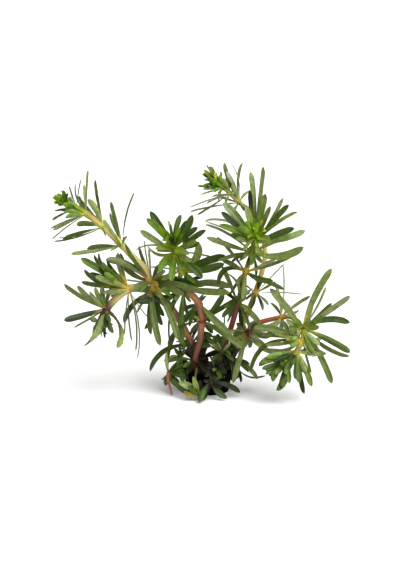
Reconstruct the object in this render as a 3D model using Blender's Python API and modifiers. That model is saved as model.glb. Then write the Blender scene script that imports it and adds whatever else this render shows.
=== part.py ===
"""A bunch of rotala stems in a small, low, black net pot, modelled in metres with +Z up.

The origin is the centre of the pot's flat underside. +X runs to the right of the bunch's front,
and the front faces -Y. Each stem is one tube along a smooth route. Each ring of leaves is one
closed body: a nodal collar that fits round its stem, from which its leaves grow.
"""

import math

import bmesh
import bpy
from mathutils import Matrix, Vector

MM = 0.001

# The bunch was measured in a front view that looks down by this angle. Places there are written
# in millimetres: across to the right, up the view, and back from the pot's axis or toward the viewer.
VIEW_TILT = math.radians(15)
ACROSS = Vector((1, 0, 0))
UP = Vector((0, math.sin(VIEW_TILT), math.cos(VIEW_TILT)))
TOWARD = Vector((0, -math.cos(VIEW_TILT), math.sin(VIEW_TILT)))

# The gap that neighbouring pieces keep.
GAP = 0.3

POT_HEIGHT = 12.5
POT_TOP_RADIUS = 13.8
POT_FOOT_RADIUS = 11.3
POT_WALL = 1.1
POT_LIP = 0.9
LIP_UNDERCUT = 0.2
POT_SIDES = 24
SLOT_COUNT = 8
SLOT_WIDTH = 1.8
SLOT_LOW = 2.6
SLOT_HIGH = 9.2
SLOT_CUTTER_DEPTH = 8
MEDIUM_TOP = 11.0
MEDIUM_SIDE_GAP = 0.45

# A stem's route has a point about every step, and a bevel resolution of 1 gives six sides.
STEM_STEP = 9.0
STEM_BEVEL_RESOLUTION = 1

# A broad leaf ends in a blunt edge, this share of its width. A short or slight one ends in a point.
LEAF_WIDTH = 3.0
YOUNG_LEAF_WIDTH = 2.2
LEAF_THICKNESS = 0.5
KEEL_SHARE = 0.7
LEAF_ARCH = 0.07
SHORT_LEAF = 14.0
SLIGHT_WIDTH = 1.5
BLUNT_TIP = 0.55

# Where along a leaf its sections stand, and the share of the full width that each has.
BROAD_SECTIONS = ((0.45, 0.8), (0.86, 1.0))
SLIGHT_SECTIONS = ((0.62, 1.0),)

COLLAR_WALL = 0.45
COLLAR_HALF_HEIGHT = 0.85
THIN_STEM_RADIUS = 1.0
THIN_COLLAR_SHARE = 0.8
BUD_RADIUS = 1.0
BUD_END_RADIUS = 0.49

# Leaves stand at least this far apart round a collar, and each base takes this share of that angle
# to either side of its station. Bare stations break up any wider arc.
LEAST_ANGLE = math.radians(30)
CROWDED_SHARE = 0.8
BASE_SHARE = 0.3
WIDEST_BARE_ARC = math.radians(70)
SPREAD_PASSES = 80

STEMS = {
    "main_stem": [
        (-6.5, 9.5, -5.5, 1.9, ""),
        (-7.5, 16.5, -6.5, 1.9, "main_ring_1"),
        (-6, 22, -6.8, 1.85, ""),
        (-4.5, 27.5, -6.5, 1.85, ""),
        (-3.5, 38, -6, 1.8, "main_ring_2"),
        (-5, 47, -5, 1.75, "main_ring_3"),
        (-9, 52.5, -4.5, 1.7, ""),
        (-13, 55.5, -4, 1.65, "main_ring_4"),
        (-22, 57, -3.5, 1.55, ""),
        (-31, 59.5, -3, 1.5, "main_ring_5"),
        (-34, 66, -2, 1.4, ""),
        (-40.5, 72.5, -1, 1.3, ""),
        (-47, 79.5, 0.5, 1.25, "main_ring_6"),
        (-57.5, 89.5, 2, 1.1, "main_ring_7"),
        (-66.5, 96.5, 3, 1, "main_ring_8"),
        (-72, 100, 3.5, 0.9, "main_ring_9"),
        (-77, 103, 3.5, 0.75, "main_tip"),
    ],
    "left_stem": [
        (-5, 11, 1, 1.4, ""),
        (-7.5, 21, 0.5, 1.4, ""),
        (-9, 25, 0, 1.4, "left_ring_1"),
        (-13, 34, 0, 1.4, ""),
        (-17, 40.5, 0, 1.4, ""),
        (-23, 48.5, 0.5, 1.4, ""),
        (-31, 54.5, 1.5, 1.4, "left_ring_2"),
        (-37.5, 56, -1.5, 1.4, ""),
        (-43.5, 55.5, -5, 1.4, "left_ring_3"),
        (-49.5, 51, -8, 1.3, ""),
        (-55.5, 44.5, -11, 1.15, "left_ring_4"),
        (-59, 39, -12.5, 0.8, "left_tip"),
    ],
    "centre_branch": [
        (-16.5, 58, -4.3, 1.3, ""),
        (-15, 65.5, -6, 1.25, "centre_ring_1"),
        (-18, 75.5, -9.5, 1.1, "centre_ring_2"),
        (-18.5, 78, -10.7, 1, "centre_ring_3"),
        (-19, 81, -11.8, 0.8, "centre_tip"),
    ],
    "back_stem": [
        (7, 12, 4, 1.4, ""),
        (11.5, 21, 5, 1.4, ""),
        (15.5, 30.5, 6, 1.4, ""),
        (20.5, 39.5, 7.5, 1.4, ""),
        (26, 53.5, 9.5, 1.35, "back_ring_1"),
        (31, 70.5, 11.5, 1.3, ""),
        (31, 80, 13, 1.25, ""),
        (29.5, 89, 14, 1.2, ""),
        (25.5, 96.5, 14.5, 1.15, ""),
        (17, 103, 14.5, 1.05, "back_ring_2"),
        (12, 108, 14, 0.95, "back_ring_3"),
        (8, 111, 13.5, 0.85, "back_ring_4"),
        (5.5, 113, 13, 0.75, "back_tip"),
    ],
    "middle_stem": [
        (4, 10, -4, 1.4, ""),
        (8, 21, -4.5, 1.4, "middle_ring_1"),
        (11.5, 31, -5, 1.4, ""),
        (16.5, 48, -6, 1.4, "middle_ring_2"),
        (18, 55, -6.8, 1.35, ""),
        (20.5, 65, -8.5, 1.35, "middle_ring_3"),
        (24, 75.5, -11, 1.3, "middle_ring_4"),
        (25, 80.5, -12.5, 1.2, "middle_ring_5"),
        (25.5, 83.5, -13.5, 1.05, "middle_ring_6"),
        (25.5, 86, -14.3, 0.85, "middle_tip"),
    ],
    "right_stem": [
        (8, 10.5, -2, 1.5, ""),
        (13, 18, -2.8, 1.5, "right_ring_1"),
        (18, 26, -4, 1.45, ""),
        (21.5, 31, -5, 1.4, "right_ring_2"),
        (26.5, 36, -6, 1.3, ""),
        (30.5, 38, -7, 1.2, ""),
        (40, 40, -9, 1.2, "right_ring_3"),
        (46, 40, -11, 1.2, ""),
        (51.5, 34, -14, 1.2, "right_ring_4"),
        (51.5, 27.5, -17.5, 1.15, "right_ring_5"),
        (48.5, 21.5, -21, 1.05, "right_ring_6"),
        (44, 17, -24, 0.85, "right_tip"),
    ],
    "red_shoot": [
        (-9, 10.5, -1, 0.65, ""),
        (-13, 13.5, -2.5, 0.65, ""),
        (-17.5, 12, -5.5, 0.6, ""),
        (-21.5, 9.5, -8, 0.6, "red_shoot_ring"),
        (-21.5, 4.5, -9.5, 0.55, ""),
        (-20, -1.5, -11.5, 0.4, ""),
    ],
    "low_shoot_left": [
        (-9.5, 11.5, 3.2, 0.8, ""),
        (-11.5, 15, 1.5, 0.8, ""),
        (-14, 17.5, -1.5, 0.7, "low_shoot_left_tip"),
    ],
    "low_shoot_front": [
        (-1, 10, -3, 0.7, ""),
        (0.5, 14.5, -6.5, 0.7, ""),
        (3.5, 13, -11, 0.65, "low_shoot_front_tip"),
    ],
    "foot_shoot_front": [
        (2, 8.5, -9.5, 0.7, ""),
        (2, 10.5, -13, 0.7, ""),
        (1.5, 8.5, -16, 0.65, ""),
        (1.5, 6, -17, 0.6, "foot_shoot_front_tip"),
    ],
    "foot_shoot_left": [
        (-5, 9, -9.4, 0.7, ""),
        (-6, 12, -12.4, 0.7, ""),
        (-7, 7, -15.8, 0.65, ""),
        (-6.5, 3, -18, 0.6, ""),
        (-5.5, -1, -20, 0.6, "foot_shoot_left_tip"),
    ],
}

OLD_STEMS = ("main_stem", "left_stem", "red_shoot")

# Each leaf: how far its tip is across, up and toward the viewer from the ring's centre, the width
# that the front view sees of it, and how far its middle bows to the left of its way out.
LEAVES = {
    "main_ring_6": [
        (-19, -2, 11, 2.8, 0), (-28, -5, 0, 2.5, 2), (7, 29, 2, 1.1, 1), (-6, 24, 4, 2.2, 0),
        (-7, 18, -10, 1.9, 0), (-10, 14, 13, 2.2, 0), (-4, 1, 9, 1.6, 0), (-2, 7, -14, 1.6, 0),
    ],
    "main_ring_7": [
        (-22, -7, 2, 1.9, 0), (-25, -6, -5, 0.8, 0), (-14, 1, 15, 2.5, 0), (-8, 15, 8, 3.3, -1),
        (-4, 26, -2, 1.1, 0), (-14, 17, -6, 2.2, 0), (-4, 7, -15, 1.6, 0), (2, -5, 12, 1.6, 0),
    ],
    "main_ring_8": [
        (1, 24, 0, 1.1, 0), (-18, -9, 5, 2.2, 0), (-19, -14, -4, 0.7, 0), (-6, 17, -6, 1.1, 2),
        (-1, 16, 8, 1.6, 0), (-11, -2, 15, 2.8, 0), (-20, -8, -9, 0.8, 0), (-4, 6, -14, 1.6, 0),
    ],
    "main_ring_9": [
        (-12, -2, 4, 1.4, 0), (-13, -6, -3, 0.7, 0), (-13, -7, 9, 1.1, 0), (-4, 12, -8, 1.1, 0),
        (-9, 10, -6, 0.8, 0), (3, 16, 0, 0.7, 0), (-7, -4, 11, 1.6, 0), (-2, 4, -10, 1.6, 0),
    ],
    "main_tip": [
        (-7, 2, -3, 1.6, 0), (-6, 3, 4, 2.5, 0), (-1, 6, 1, 2.2, 0), (-4, -2, 5, 1.6, 0),
        (2, 4, 5, 1.6, 0), (-3, -3, -3, 1.4, 0), (-2, 2, 8, 1.6, 0),
    ],
    "main_ring_5": [
        (-14, 21, 10, 2.2, 1), (-7, 20, -11, 1.9, 0), (-25, 12, 9, 3.3, -3), (-17, 16, -9, 2.2, 4),
        (-14, 1, -2, 0.8, 0), (-10, -4, 15, 3.3, 0), (-4, 23, -16, 0.8, 0), (-1, 19, 11, 1.1, 0),
        (5, -35, 8, 2.5, 0), (15, -32, 13, 3, 3), (30, -2, 12, 3.6, 0),
    ],
    "main_ring_4": [
        (26, 1, 5, 3.3, 2), (25, -2, 10, 3.3, -1), (-1, -31, 0, 2.5, 0), (-25, -4, 0, 3.6, 3),
        (-7, -31, 2, 1.1, -3), (4, 15, -16, 1.6, 0), (-7, 10, -15, 1.6, 0),
    ],
    "main_ring_3": [
        (17, -16, 9, 3.3, -1), (3, 6, -15, 1.6, 0), (-9, -4, -12, 2.2, 0), (-5, -12, 12, 1.6, 0),
    ],
    "main_ring_2": [
        (-18, -14, 11, 1.6, -3), (23, -15, 10, 3.6, 0), (12, 15, 5, 2.8, -1), (20, 12, 8, 2.8, 0),
        (-4, -8, -14, 2.2, 0), (4, 6, -16, 1.6, 0),
    ],
    "main_ring_1": [
        (-14, -1, 8, 2.2, -2), (5, 4, -9, 1.6, 0), (7, -7, 11, 1.9, 0), (-3, -6, 12, 1.6, 0),
    ],
    "left_ring_1": [
        (-4, -2, 8, 2.2, -3), (12, 4, 8, 2.5, 3), (11, -1, 1, 2.2, 0), (16, -3, -8, 1.4, 2),
        (-9, 2, -3, 0.8, 0), (2, 7, -9, 1.6, 0), (-5, -3, -9, 1.6, 0), (-23, -15, -9, 1.9, -7),
    ],
    "left_ring_2": [
        (-15, -18, -5, 1.9, -3), (-4, -21, -6, 2.2, 0), (6, -19, -5, 2.5, 0), (0, -24, 7, 2.2, 0),
        (3, 10, -16, 1.6, 0), (11, -10, -11, 2.2, 0),
    ],
    "left_ring_3": [
        (-26, 17, 4, 3.3, -1), (-19, 19, -6, 1.6, 1), (-16, 20, 6, 1.6, 3), (-14, 15, 12, 1.6, 0),
        (-24, 11, 9, 1.9, 3), (-26, 4, -3, 2.2, 0), (-6, 20, -10, 2.2, 0), (-11, -2, 15, 2.8, 0),
        (-2, -25, -3, 0.8, 0), (4, -34, 3, 0.8, 3), (13, -18, -6, 0.7, 0), (2, -29, -9, 0.8, 0),
        (5, -38, 9, 0.8, 4),
    ],
    "left_ring_4": [
        (-23, 14, 5, 2.8, 0), (-16, 13, -5, 2.2, 0), (-23, -6, 8, 3, 0), (-18, -10, -3, 1.1, 0),
        (-12, -20, 9, 3.3, 2), (-2, 14, -8, 1.6, 0), (-6, 12, 10, 1.6, 0), (6, -21, 7, 3.3, 5),
        (-1, -16, -6, 0.8, 0),
    ],
    "left_tip": [
        (-4, 3, 5, 1.6, 0), (-3, -4, 4, 1.6, 0), (-1, -7, 1, 1.6, 0), (4, -6, 5, 1.6, 0),
        (4, -1, -4, 1.4, 0), (-5, 1, -3, 1.6, 0),
    ],
    "centre_ring_1": [
        (25, 8, 6, 3.6, 0), (24, 4, 11, 3.6, -2), (6, 30, -5, 2.5, 0), (9, 16, -9, 3, -5),
        (-17, 2, -4, 0.8, 0), (12, -4, 14, 3.3, 3), (-12, 5, -14, 1.6, 0),
    ],
    "centre_ring_2": [
        (17, 12, 8, 2.8, 0), (21, -3, -8, 0.8, 0), (-22, 1, -6, 0.8, -3), (-19, 12, 2, 2.8, 3),
        (-9, -11, 15, 3.3, -1), (-2, -16, 14, 3.3, 0), (12, 6, 12, 2.5, 0), (-15, 4, 9, 1.6, 4),
    ],
    "centre_ring_3": [
        (-13, 20, 2, 3.3, 0), (-15, 16, 8, 3.3, -1), (-3, 15, -12, 1.1, 0), (4, 18, 6, 2.5, 1),
        (10, 18, 3, 3.3, -1), (13, 11, 12, 2.2, 0), (-10, -1, 14, 2.2, 0), (8, -4, 14, 2.2, 0),
        (3, 7, -14, 1.6, 0),
    ],
    "centre_tip": [
        (-5, 6, 4, 2.2, 0), (4, 7, 3, 2.2, 0), (-1, 9, 1, 1.6, 0), (5, 1, 5, 1.6, 0),
        (-6, 0, 4, 1.6, 0), (0, -4, 6, 1.6, 0), (-1, 3, 7, 1.6, 0),
    ],
    "back_ring_2": [
        (-7, 17, 4, 2.6, -1), (-8, 22, -2, 2.4, 0), (2, 22, -4, 1.4, 1), (-4, 21, 4, 1.1, 0),
        (-12, 3, -6, 1.4, 0), (-27, -5, -7, 1.6, 0), (7, 7, -11, 1.6, 0), (-3, -6, 12, 1.6, 0),
        (6, -5, 10, 1.6, 0),
    ],
    "back_ring_3": [
        (-22, -8, 6, 1.4, 0), (-13, -6, 10, 0.8, 0), (-18, -12, 1, 1.6, 3), (-10, -2, 11, 1.1, 0),
        (-1, 12, -9, 1.6, 0), (-7, 9, -11, 1.6, 0), (-2, -6, 12, 1.4, 0),
    ],
    "back_ring_4": [
        (-10, 9, 2, 2.2, 0), (-9, 13, -7, 0.8, 0), (-12, -4, 4, 1.4, 0), (-14, 1, -2, 1.1, 0),
        (-6, 12, -8, 1.6, 0), (-2, -8, -7, 1.4, 0), (-1, 9, -6, 1.1, 0),
    ],
    "back_tip": [
        (-7, 2, 4, 2.5, 0), (-4, 9, 1, 2.2, 0), (-8, -2, 1, 1.6, 0), (-8, 5, -1, 1.6, 0),
        (-4, -4, 5, 1.4, 0), (-1, 6, 5, 1.6, 0), (-2, 0, 8, 1.6, 0),
    ],
    "middle_ring_5": [
        (-2, 39, -6, 1.6, -1), (5, 42, -3, 1.9, 0), (6, 27, 4, 3, 0), (9, 20, 10, 2.8, 0),
        (16, 25, -8, 2.2, 2), (19, 21, 3, 3, 0), (24, 17, -5, 1.6, -1), (22, 8, 8, 2.5, 2),
        (28, 7, 2, 3, -2), (-18, 17, 4, 2.8, 0), (-19, 10, 9, 3, -1), (-17, 22, -3, 3.6, -1),
        (-27, 12, -8, 0.8, 0), (-10, 2, 16, 2.2, 0),
    ],
    "middle_ring_6": [
        (-3, 26, -4, 2.2, 0), (-5, 17, 6, 2.8, 0), (-9, 6, 12, 2.5, 0), (4, 18, 8, 2.2, 0),
        (10, 7, 6, 2.2, 0), (1, -9, 14, 2.2, 0), (-6, -7, 13, 1.9, 0), (8, -2, 13, 1.9, 0),
    ],
    "middle_tip": [
        (-4, 5, 4, 1.6, 0), (0, 7, 2, 1.6, 0), (4, 6, 4, 1.6, 0), (6, 0, 5, 1.6, 0),
        (2, -5, 6, 1.6, 0), (-4, -4, 6, 1.6, 0), (-1, 2, 7, 1.6, 0),
    ],
    "middle_ring_4": [
        (-26, 15, 2, 1.4, -1), (-25, 8, 7, 1.9, 1), (28, 3, 6, 3.3, -5), (-1, -7, 13, 2.8, 0),
        (-19, -5, 3, 2.2, 0), (18, 8, -10, 2.2, 0), (2, -13, -15, 2.2, 0), (-12, -6, -12, 1.6, 0),
    ],
    "middle_ring_3": [
        (21, -10, 5, 2.2, -1), (15, -5, 9, 2.8, -2), (-16, 19, -3, 1.6, 0), (-13, 6, 6, 2.2, 0),
        (17, 7, -8, 1.6, -1), (28, 10, 3, 1.6, -2), (-9, -13, -13, 1.6, 0), (-3, -10, -16, 1.6, 0),
    ],
    "middle_ring_2": [
        (12, -12, 6, 3, 2), (6, -15, 10, 2.8, 3), (2, -14, -7, 2.2, 0), (-9, 20, 3, 1.9, 0),
        (-6, 16, 12, 2.2, -3), (-11, 8, -6, 2.2, 0), (8, 8, -12, 1.6, 0),
    ],
    "middle_ring_1": [
        (-6, -5, 8, 1.9, 0), (-6, 2, -8, 1.6, 0), (5, -12, 1, 1.6, 1), (6, -5, 8, 1.6, 0),
        (-6, 4, 3, 1.6, 0), (2, 8, 6, 2.8, 2), (1, 21, -5, 0.8, 0), (8, 3, 2, 2.2, 0),
        (4, -3, -9, 1.6, 0),
    ],
    "back_ring_1": [
        (26, -1, 3, 0.8, 0), (-6, -2, -4, 0.7, 0), (4, -10, -9, 2.2, 0), (16, 16, -8, 0.7, 0),
        (-9, 6, -10, 1.1, 0), (7, -7, 6, 1.6, 0),
    ],
    "right_ring_1": [
        (14, -12, 5, 1.9, 1), (19, -10, -8, 0.8, -6), (9, -8, 12, 1.6, 0), (10, -4, 3, 1.4, 0),
        (3, -12, -11, 1.6, 0),
    ],
    "right_ring_2": [
        (8, -7, 12, 3.3, 0), (-8, -27, 9, 2.8, -1), (-6, -8, 9, 2.8, 0), (6, 9, -7, 2.2, 0),
        (-4, 7, -5, 1.6, 0), (-8, -1, 6, 2.2, 0), (8, 1, 5, 2.2, 0), (1, -8, -11, 2.2, 0),
    ],
    "right_ring_3": [
        (-4, 20, -4, 1.6, 0), (1, 29, -9, 0.8, 0), (-13, -7, 6, 2.8, 1), (-16, -6, 1, 2.8, 2),
        (10, 4, -8, 1.6, 0), (-1, -7, -14, 2.2, 0),
    ],
    "right_ring_4": [
        (-18, 22, 8, 3.3, -1), (16, 33, 3, 2.8, 1), (13, 23, -6, 1.1, 0), (26, 18, 6, 2.5, 1),
        (16, 14, -4, 2.8, 0), (26, 3, 2, 2.5, 4), (26, -13, 9, 3, 1), (26, -15, 1, 2.2, -2),
        (16, -30, 8, 2.8, 1), (-7, -9, -10, 2.8, 0), (-6, 9, -12, 2.2, 0),
    ],
    "right_ring_5": [
        (13, -7, 9, 1.9, 0), (-23, 3, 2, 1.9, -2), (-29, -18, 5, 2.2, -9), (-25, -2, -5, 2.2, 4),
        (5, -18, -8, 2.2, 0), (11, 2, -11, 1.6, 0), (-4, 6, -6, 1.6, 0),
    ],
    "right_ring_6": [
        (8, -19, 7, 2.8, 1), (4, -23, 3, 2.5, 0), (1, -17, 9, 2.8, 0), (-21, -8, 5, 3, -2),
        (-17, 1, -5, 2.2, 0), (6, 2, -11, 1.6, 0), (4, -12, -9, 1.6, 0),
    ],
    "right_tip": [
        (-6, -16, 0, 3.3, 2), (-8, -11, 7, 3.3, -2), (-12, -5, 4, 2.2, 0), (-4, -2, 8, 2.8, 0),
        (-1, -7, 10, 2.2, 0), (-7, 1, 5, 2.2, 0), (2, -10, -2, 1.6, 0), (-4, 6, 1, 1.6, 0),
        (-10, -8, -4, 2.8, 0), (-3, -14, 8, 2.8, 0),
    ],
    "red_shoot_ring": [
        (4, 23, -3, 2.2, 2), (-1, 12, 2, 1.6, 0), (8, -1, 9, 1.6, 0),
        (8, 5, 6, 1.4, 0), (-2, -7, -5, 2.2, 0), (6, -7, 4, 1.9, -1), (-4, -4, -6, 1.1, 0),
    ],
    "low_shoot_left_tip": [
        (-7, -3, 5, 2.5, -2), (-2, -10, 6, 2.2, -1), (1, -14, 12, 2.5, 0), (3, -12, 6, 2.2, 0),
        (-10, -2, -4, 1.1, 0), (-4, 5, -4, 1.6, 0), (4, 4, -7, 1.6, 0), (-1, 8, 2, 1.6, 0),
    ],
    "foot_shoot_front_tip": [
        (-6, -11, 8, 3, -1), (9, -9, 2, 2.8, -1), (16, -6, -4, 2.5, 2), (6, 4, 1, 1.6, 0),
        (-4, -10, 3, 1.6, 0), (-1, -4, 8, 1.6, 0),
    ],
    "low_shoot_front_tip": [
        (-5, -2, 3, 1.9, 0), (4, -4, 1, 2.2, 0), (6, 2, -3, 1.9, 0), (3, -6, 8, 1.9, 0),
        (-3, 6, -2, 1.6, 0), (3, 6, 2, 1.9, 0), (-6, 2, 3, 1.6, 0),
    ],
    "foot_shoot_left_tip": [
        (-11, 6, 0, 3.3, -2), (-3, 10, 3, 2.5, 0), (-14, 9, -4, 2.2, 2), (-8, 2, 4, 3.3, 1),
        (-6, 5, 6, 2.2, 0),
    ],
}


def placed(across, up, back):
    """The point at this place of the front view, `back` behind the pot's axis."""
    return Vector((across, back, (up - back * UP.y) / UP.z))


def smooth_route(rows):
    """Places and radii along a Catmull-Rom curve through a stem's rows, as one list of 4D points."""
    knots = [Vector((*placed(*row[:3]), row[3])) for row in rows]
    points = []
    for i in range(len(knots) - 1):
        before = knots[max(i - 1, 0)]
        start = knots[i]
        end = knots[i + 1]
        after = knots[min(i + 2, len(knots) - 1)]
        steps = max(1, round((end - start).length / STEM_STEP))
        for step in range(steps):
            t = step / steps
            points.append(
                0.5 * (
                    2 * start
                    + (end - before) * t
                    + (2 * before - 5 * start + 4 * end - after) * t**2
                    + (3 * start - before - 3 * end + after) * t**3
                )
            )
    points.append(knots[-1])
    return points


def rooted(points):
    """The route with its foot lifted until the whole of its slanted end stands clear."""
    foot = points[0].copy()
    lean = (points[1].xyz - foot.xyz).normalized()
    foot.z += foot.w * math.sqrt(1 - lean.z**2)
    return [foot] + points[1:]


def stem_axis(rows, index):
    """The stem's direction where it passes the row, towards its tip."""
    first = rows[max(index - 1, 0)]
    last = rows[min(index + 1, len(rows) - 1)]
    return (placed(*last[:3]) - placed(*first[:3])).normalized()


def spread(angles, least):
    """Rising angles pushed apart until each is at least `least` from the next one."""
    angles = list(angles)
    count = len(angles)
    for _ in range(SPREAD_PASSES):
        for i in range(count):
            j = (i + 1) % count
            gap = (angles[j] - angles[i]) % math.tau
            if gap < least:
                angles[i] -= (least - gap) / 2
                angles[j] += (least - gap) / 2
    return angles


def blade_across(along, upper_side, share):
    """The blade's width direction, turned about the leaf until the front view sees this share of it.

    Of the two turns that do so, the one whose face lies nearer the upper side's direction is kept.
    """
    flat = TOWARD.cross(along).normalized()
    deep = along.cross(flat).normalized()
    turned = math.sqrt(1 - share**2)
    choices = [flat * share + deep * turned, flat * share - deep * turned]
    leans = [along.cross(width).dot(upper_side) for width in choices]
    best = 0 if abs(leans[0]) >= abs(leans[1]) else 1
    return choices[best] if leans[best] >= 0 else -choices[best]


def add_leaf(mesh, base, axis, radial, start, reach, seen_width, bow, full_width):
    """Grows one leaf from the four base corners along a quadratic curve to its tip.

    Each section is a flat diamond: left edge, groove on top, right edge, keel below.
    """
    end = start + reach
    along = reach.normalized()
    side = TOWARD.cross(along)
    if side.length > 0:
        side.normalize()
    middle = (start + end) / 2 + side * bow * 2 + axis * reach.length * LEAF_ARCH
    width = max(full_width, seen_width)
    level = blade_across(along, axis - radial * (1 - KEEL_SHARE), seen_width / width)
    slight = reach.length < SHORT_LEAF or seen_width < SLIGHT_WIDTH
    ring = base
    for t, fullness in SLIGHT_SECTIONS if slight else BROAD_SECTIONS:
        centre = start * (1 - t) ** 2 + middle * 2 * t * (1 - t) + end * t**2
        direction = ((middle - start) * (1 - t) + (end - middle) * t).normalized()
        across = (level - direction * level.dot(direction)).normalized()
        normal = direction.cross(across)
        half = across * width * fullness / 2
        corners = [
            mesh.verts.new(centre - half),
            mesh.verts.new(centre + normal * LEAF_THICKNESS * (1 - KEEL_SHARE)),
            mesh.verts.new(centre + half),
            mesh.verts.new(centre - normal * LEAF_THICKNESS * KEEL_SHARE),
        ]
        for i in range(4):
            j = (i + 1) % 4
            mesh.faces.new((ring[i], ring[j], corners[j], corners[i]))
        ring = corners
    left_edge, groove, right_edge, keel = ring
    if slight:
        tip = mesh.verts.new(end)
        for i in range(4):
            mesh.faces.new((ring[i], ring[(i + 1) % 4], tip))
        return
    left = mesh.verts.new(end - across * width * BLUNT_TIP / 2)
    right = mesh.verts.new(end + across * width * BLUNT_TIP / 2)
    mesh.faces.new((left_edge, groove, left))
    mesh.faces.new((groove, right, left))
    mesh.faces.new((groove, right_edge, right))
    mesh.faces.new((right_edge, keel, right))
    mesh.faces.new((keel, left, right))
    mesh.faces.new((keel, left_edge, left))


def stations_round(angles, least):
    """Where the leaves stand round the collar: (angle, leaf's index), or None for a bare station."""
    order = sorted(range(len(angles)), key=lambda i: angles[i])
    settled = spread([angles[i] for i in order], least)
    stations = []
    for k, which in enumerate(order):
        stations.append((settled[k], which))
        arc = (settled[(k + 1) % len(order)] - settled[k]) % math.tau
        bare = int(arc // WIDEST_BARE_ARC)
        for n in range(bare):
            stations.append((settled[k] + arc * (n + 1) / (bare + 1), None))
    return stations


def ring_of_leaves(centre, axis, stem_radius, leaves, is_tip):
    """One closed body: a collar round the stem, or a bud on the stem's end, and its leaves."""
    right = axis.orthogonal().normalized()
    front = axis.cross(right)
    reaches = [ACROSS * row[0] + UP * row[1] + TOWARD * row[2] for row in leaves]
    angles = [math.atan2(reach.dot(front), reach.dot(right)) % math.tau for reach in reaches]
    least = min(CROWDED_SHARE * math.tau / len(leaves), LEAST_ANGLE)
    stations = stations_round(angles, least)
    count = len(stations)
    widest = max((stations[(i + 1) % count][0] - stations[i][0]) % math.tau for i in range(count))
    if is_tip:
        hole = BUD_END_RADIUS
        outside = BUD_RADIUS
    else:
        hole = (stem_radius + GAP) / math.cos(widest / 2)
        outside = hole + COLLAR_WALL
    half_height = COLLAR_HALF_HEIGHT
    if stem_radius <= THIN_STEM_RADIUS:
        half_height *= THIN_COLLAR_SHARE

    mesh = bmesh.new()

    def corner(angle, radius, rise):
        outward = right * math.cos(angle) + front * math.sin(angle)
        return mesh.verts.new(centre + outward * radius + axis * rise)

    tops = [corner(angle, hole, half_height) for angle, _ in stations]
    lows = [corner(angle, hole, -half_height) for angle, _ in stations]
    rims = []
    for angle, which in stations:
        if which is None:
            rims.append([corner(angle, outside, 0)])
        else:
            aside = least * BASE_SHARE
            rims.append([corner(angle - aside, outside, 0), corner(angle + aside, outside, 0)])
    for i in range(count):
        j = (i + 1) % count
        mesh.faces.new((rims[i][-1], rims[j][0], tops[j], tops[i]))
        mesh.faces.new((rims[j][0], rims[i][-1], lows[i], lows[j]))
        if not is_tip:
            mesh.faces.new((tops[i], tops[j], lows[j], lows[i]))
    if is_tip:
        mesh.faces.new(tops)
        mesh.faces.new(lows[::-1])
    for i, (angle, which) in enumerate(stations):
        if which is None:
            continue
        seen_width, bow = leaves[which][3:]
        radial = right * math.cos(angle) + front * math.sin(angle)
        base = [rims[i][0], tops[i], rims[i][1], lows[i]]
        start = centre + radial * outside
        reach = centre + reaches[which] - start
        full_width = YOUNG_LEAF_WIDTH if is_tip else LEAF_WIDTH
        add_leaf(mesh, base, axis, radial, start, reach, seen_width, bow, full_width)
    bmesh.ops.recalc_face_normals(mesh, faces=mesh.faces)
    return mesh


def material(name, colour, roughness):
    """A plain Principled BSDF in a linear colour."""
    made = bpy.data.materials.new(name)
    made.use_nodes = True
    shader = made.node_tree.nodes["Principled BSDF"]
    shader.inputs["Base Color"].default_value = (*colour, 1)
    shader.inputs["Roughness"].default_value = roughness
    shader.inputs["Metallic"].default_value = 0
    return made


def add_mesh_object(name, mesh, collection, finish):
    """Puts a bmesh drawn in millimetres into the scene in metres."""
    bmesh.ops.scale(mesh, vec=(MM, MM, MM), verts=mesh.verts)
    data = bpy.data.meshes.new(name)
    mesh.to_mesh(data)
    mesh.free()
    data.materials.append(finish)
    made = bpy.data.objects.new(name, data)
    collection.objects.link(made)
    return made


def add_stem(name, rows, collection, finish):
    """A tube along the stem's smooth route, thinner towards its tip, with closed ends."""
    data = bpy.data.curves.new(name, "CURVE")
    data.dimensions = "3D"
    data.bevel_depth = MM
    data.bevel_resolution = STEM_BEVEL_RESOLUTION
    data.use_fill_caps = True
    points = rooted(smooth_route(rows))
    spline = data.splines.new("POLY")
    spline.points.add(len(points) - 1)
    for point, place in zip(spline.points, points):
        point.co = (*(place.xyz * MM), 1)
        point.radius = place.w
    data.materials.append(finish)
    collection.objects.link(bpy.data.objects.new(name, data))


def add_rings(rows, collection, leaf_finish, tip_finish):
    """The rings of leaves that a stem carries, each round the stem at its row, and its tip."""
    for i, row in enumerate(rows):
        ring_name = row[4]
        if not ring_name:
            continue
        axis = stem_axis(rows, i)
        centre = placed(*row[:3])
        is_tip = i == len(rows) - 1
        if is_tip:
            centre += axis * (GAP + COLLAR_HALF_HEIGHT)
        mesh = ring_of_leaves(centre, axis, row[3], LEAVES[ring_name], is_tip)
        add_mesh_object(ring_name, mesh, collection, tip_finish if is_tip else leaf_finish)


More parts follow.
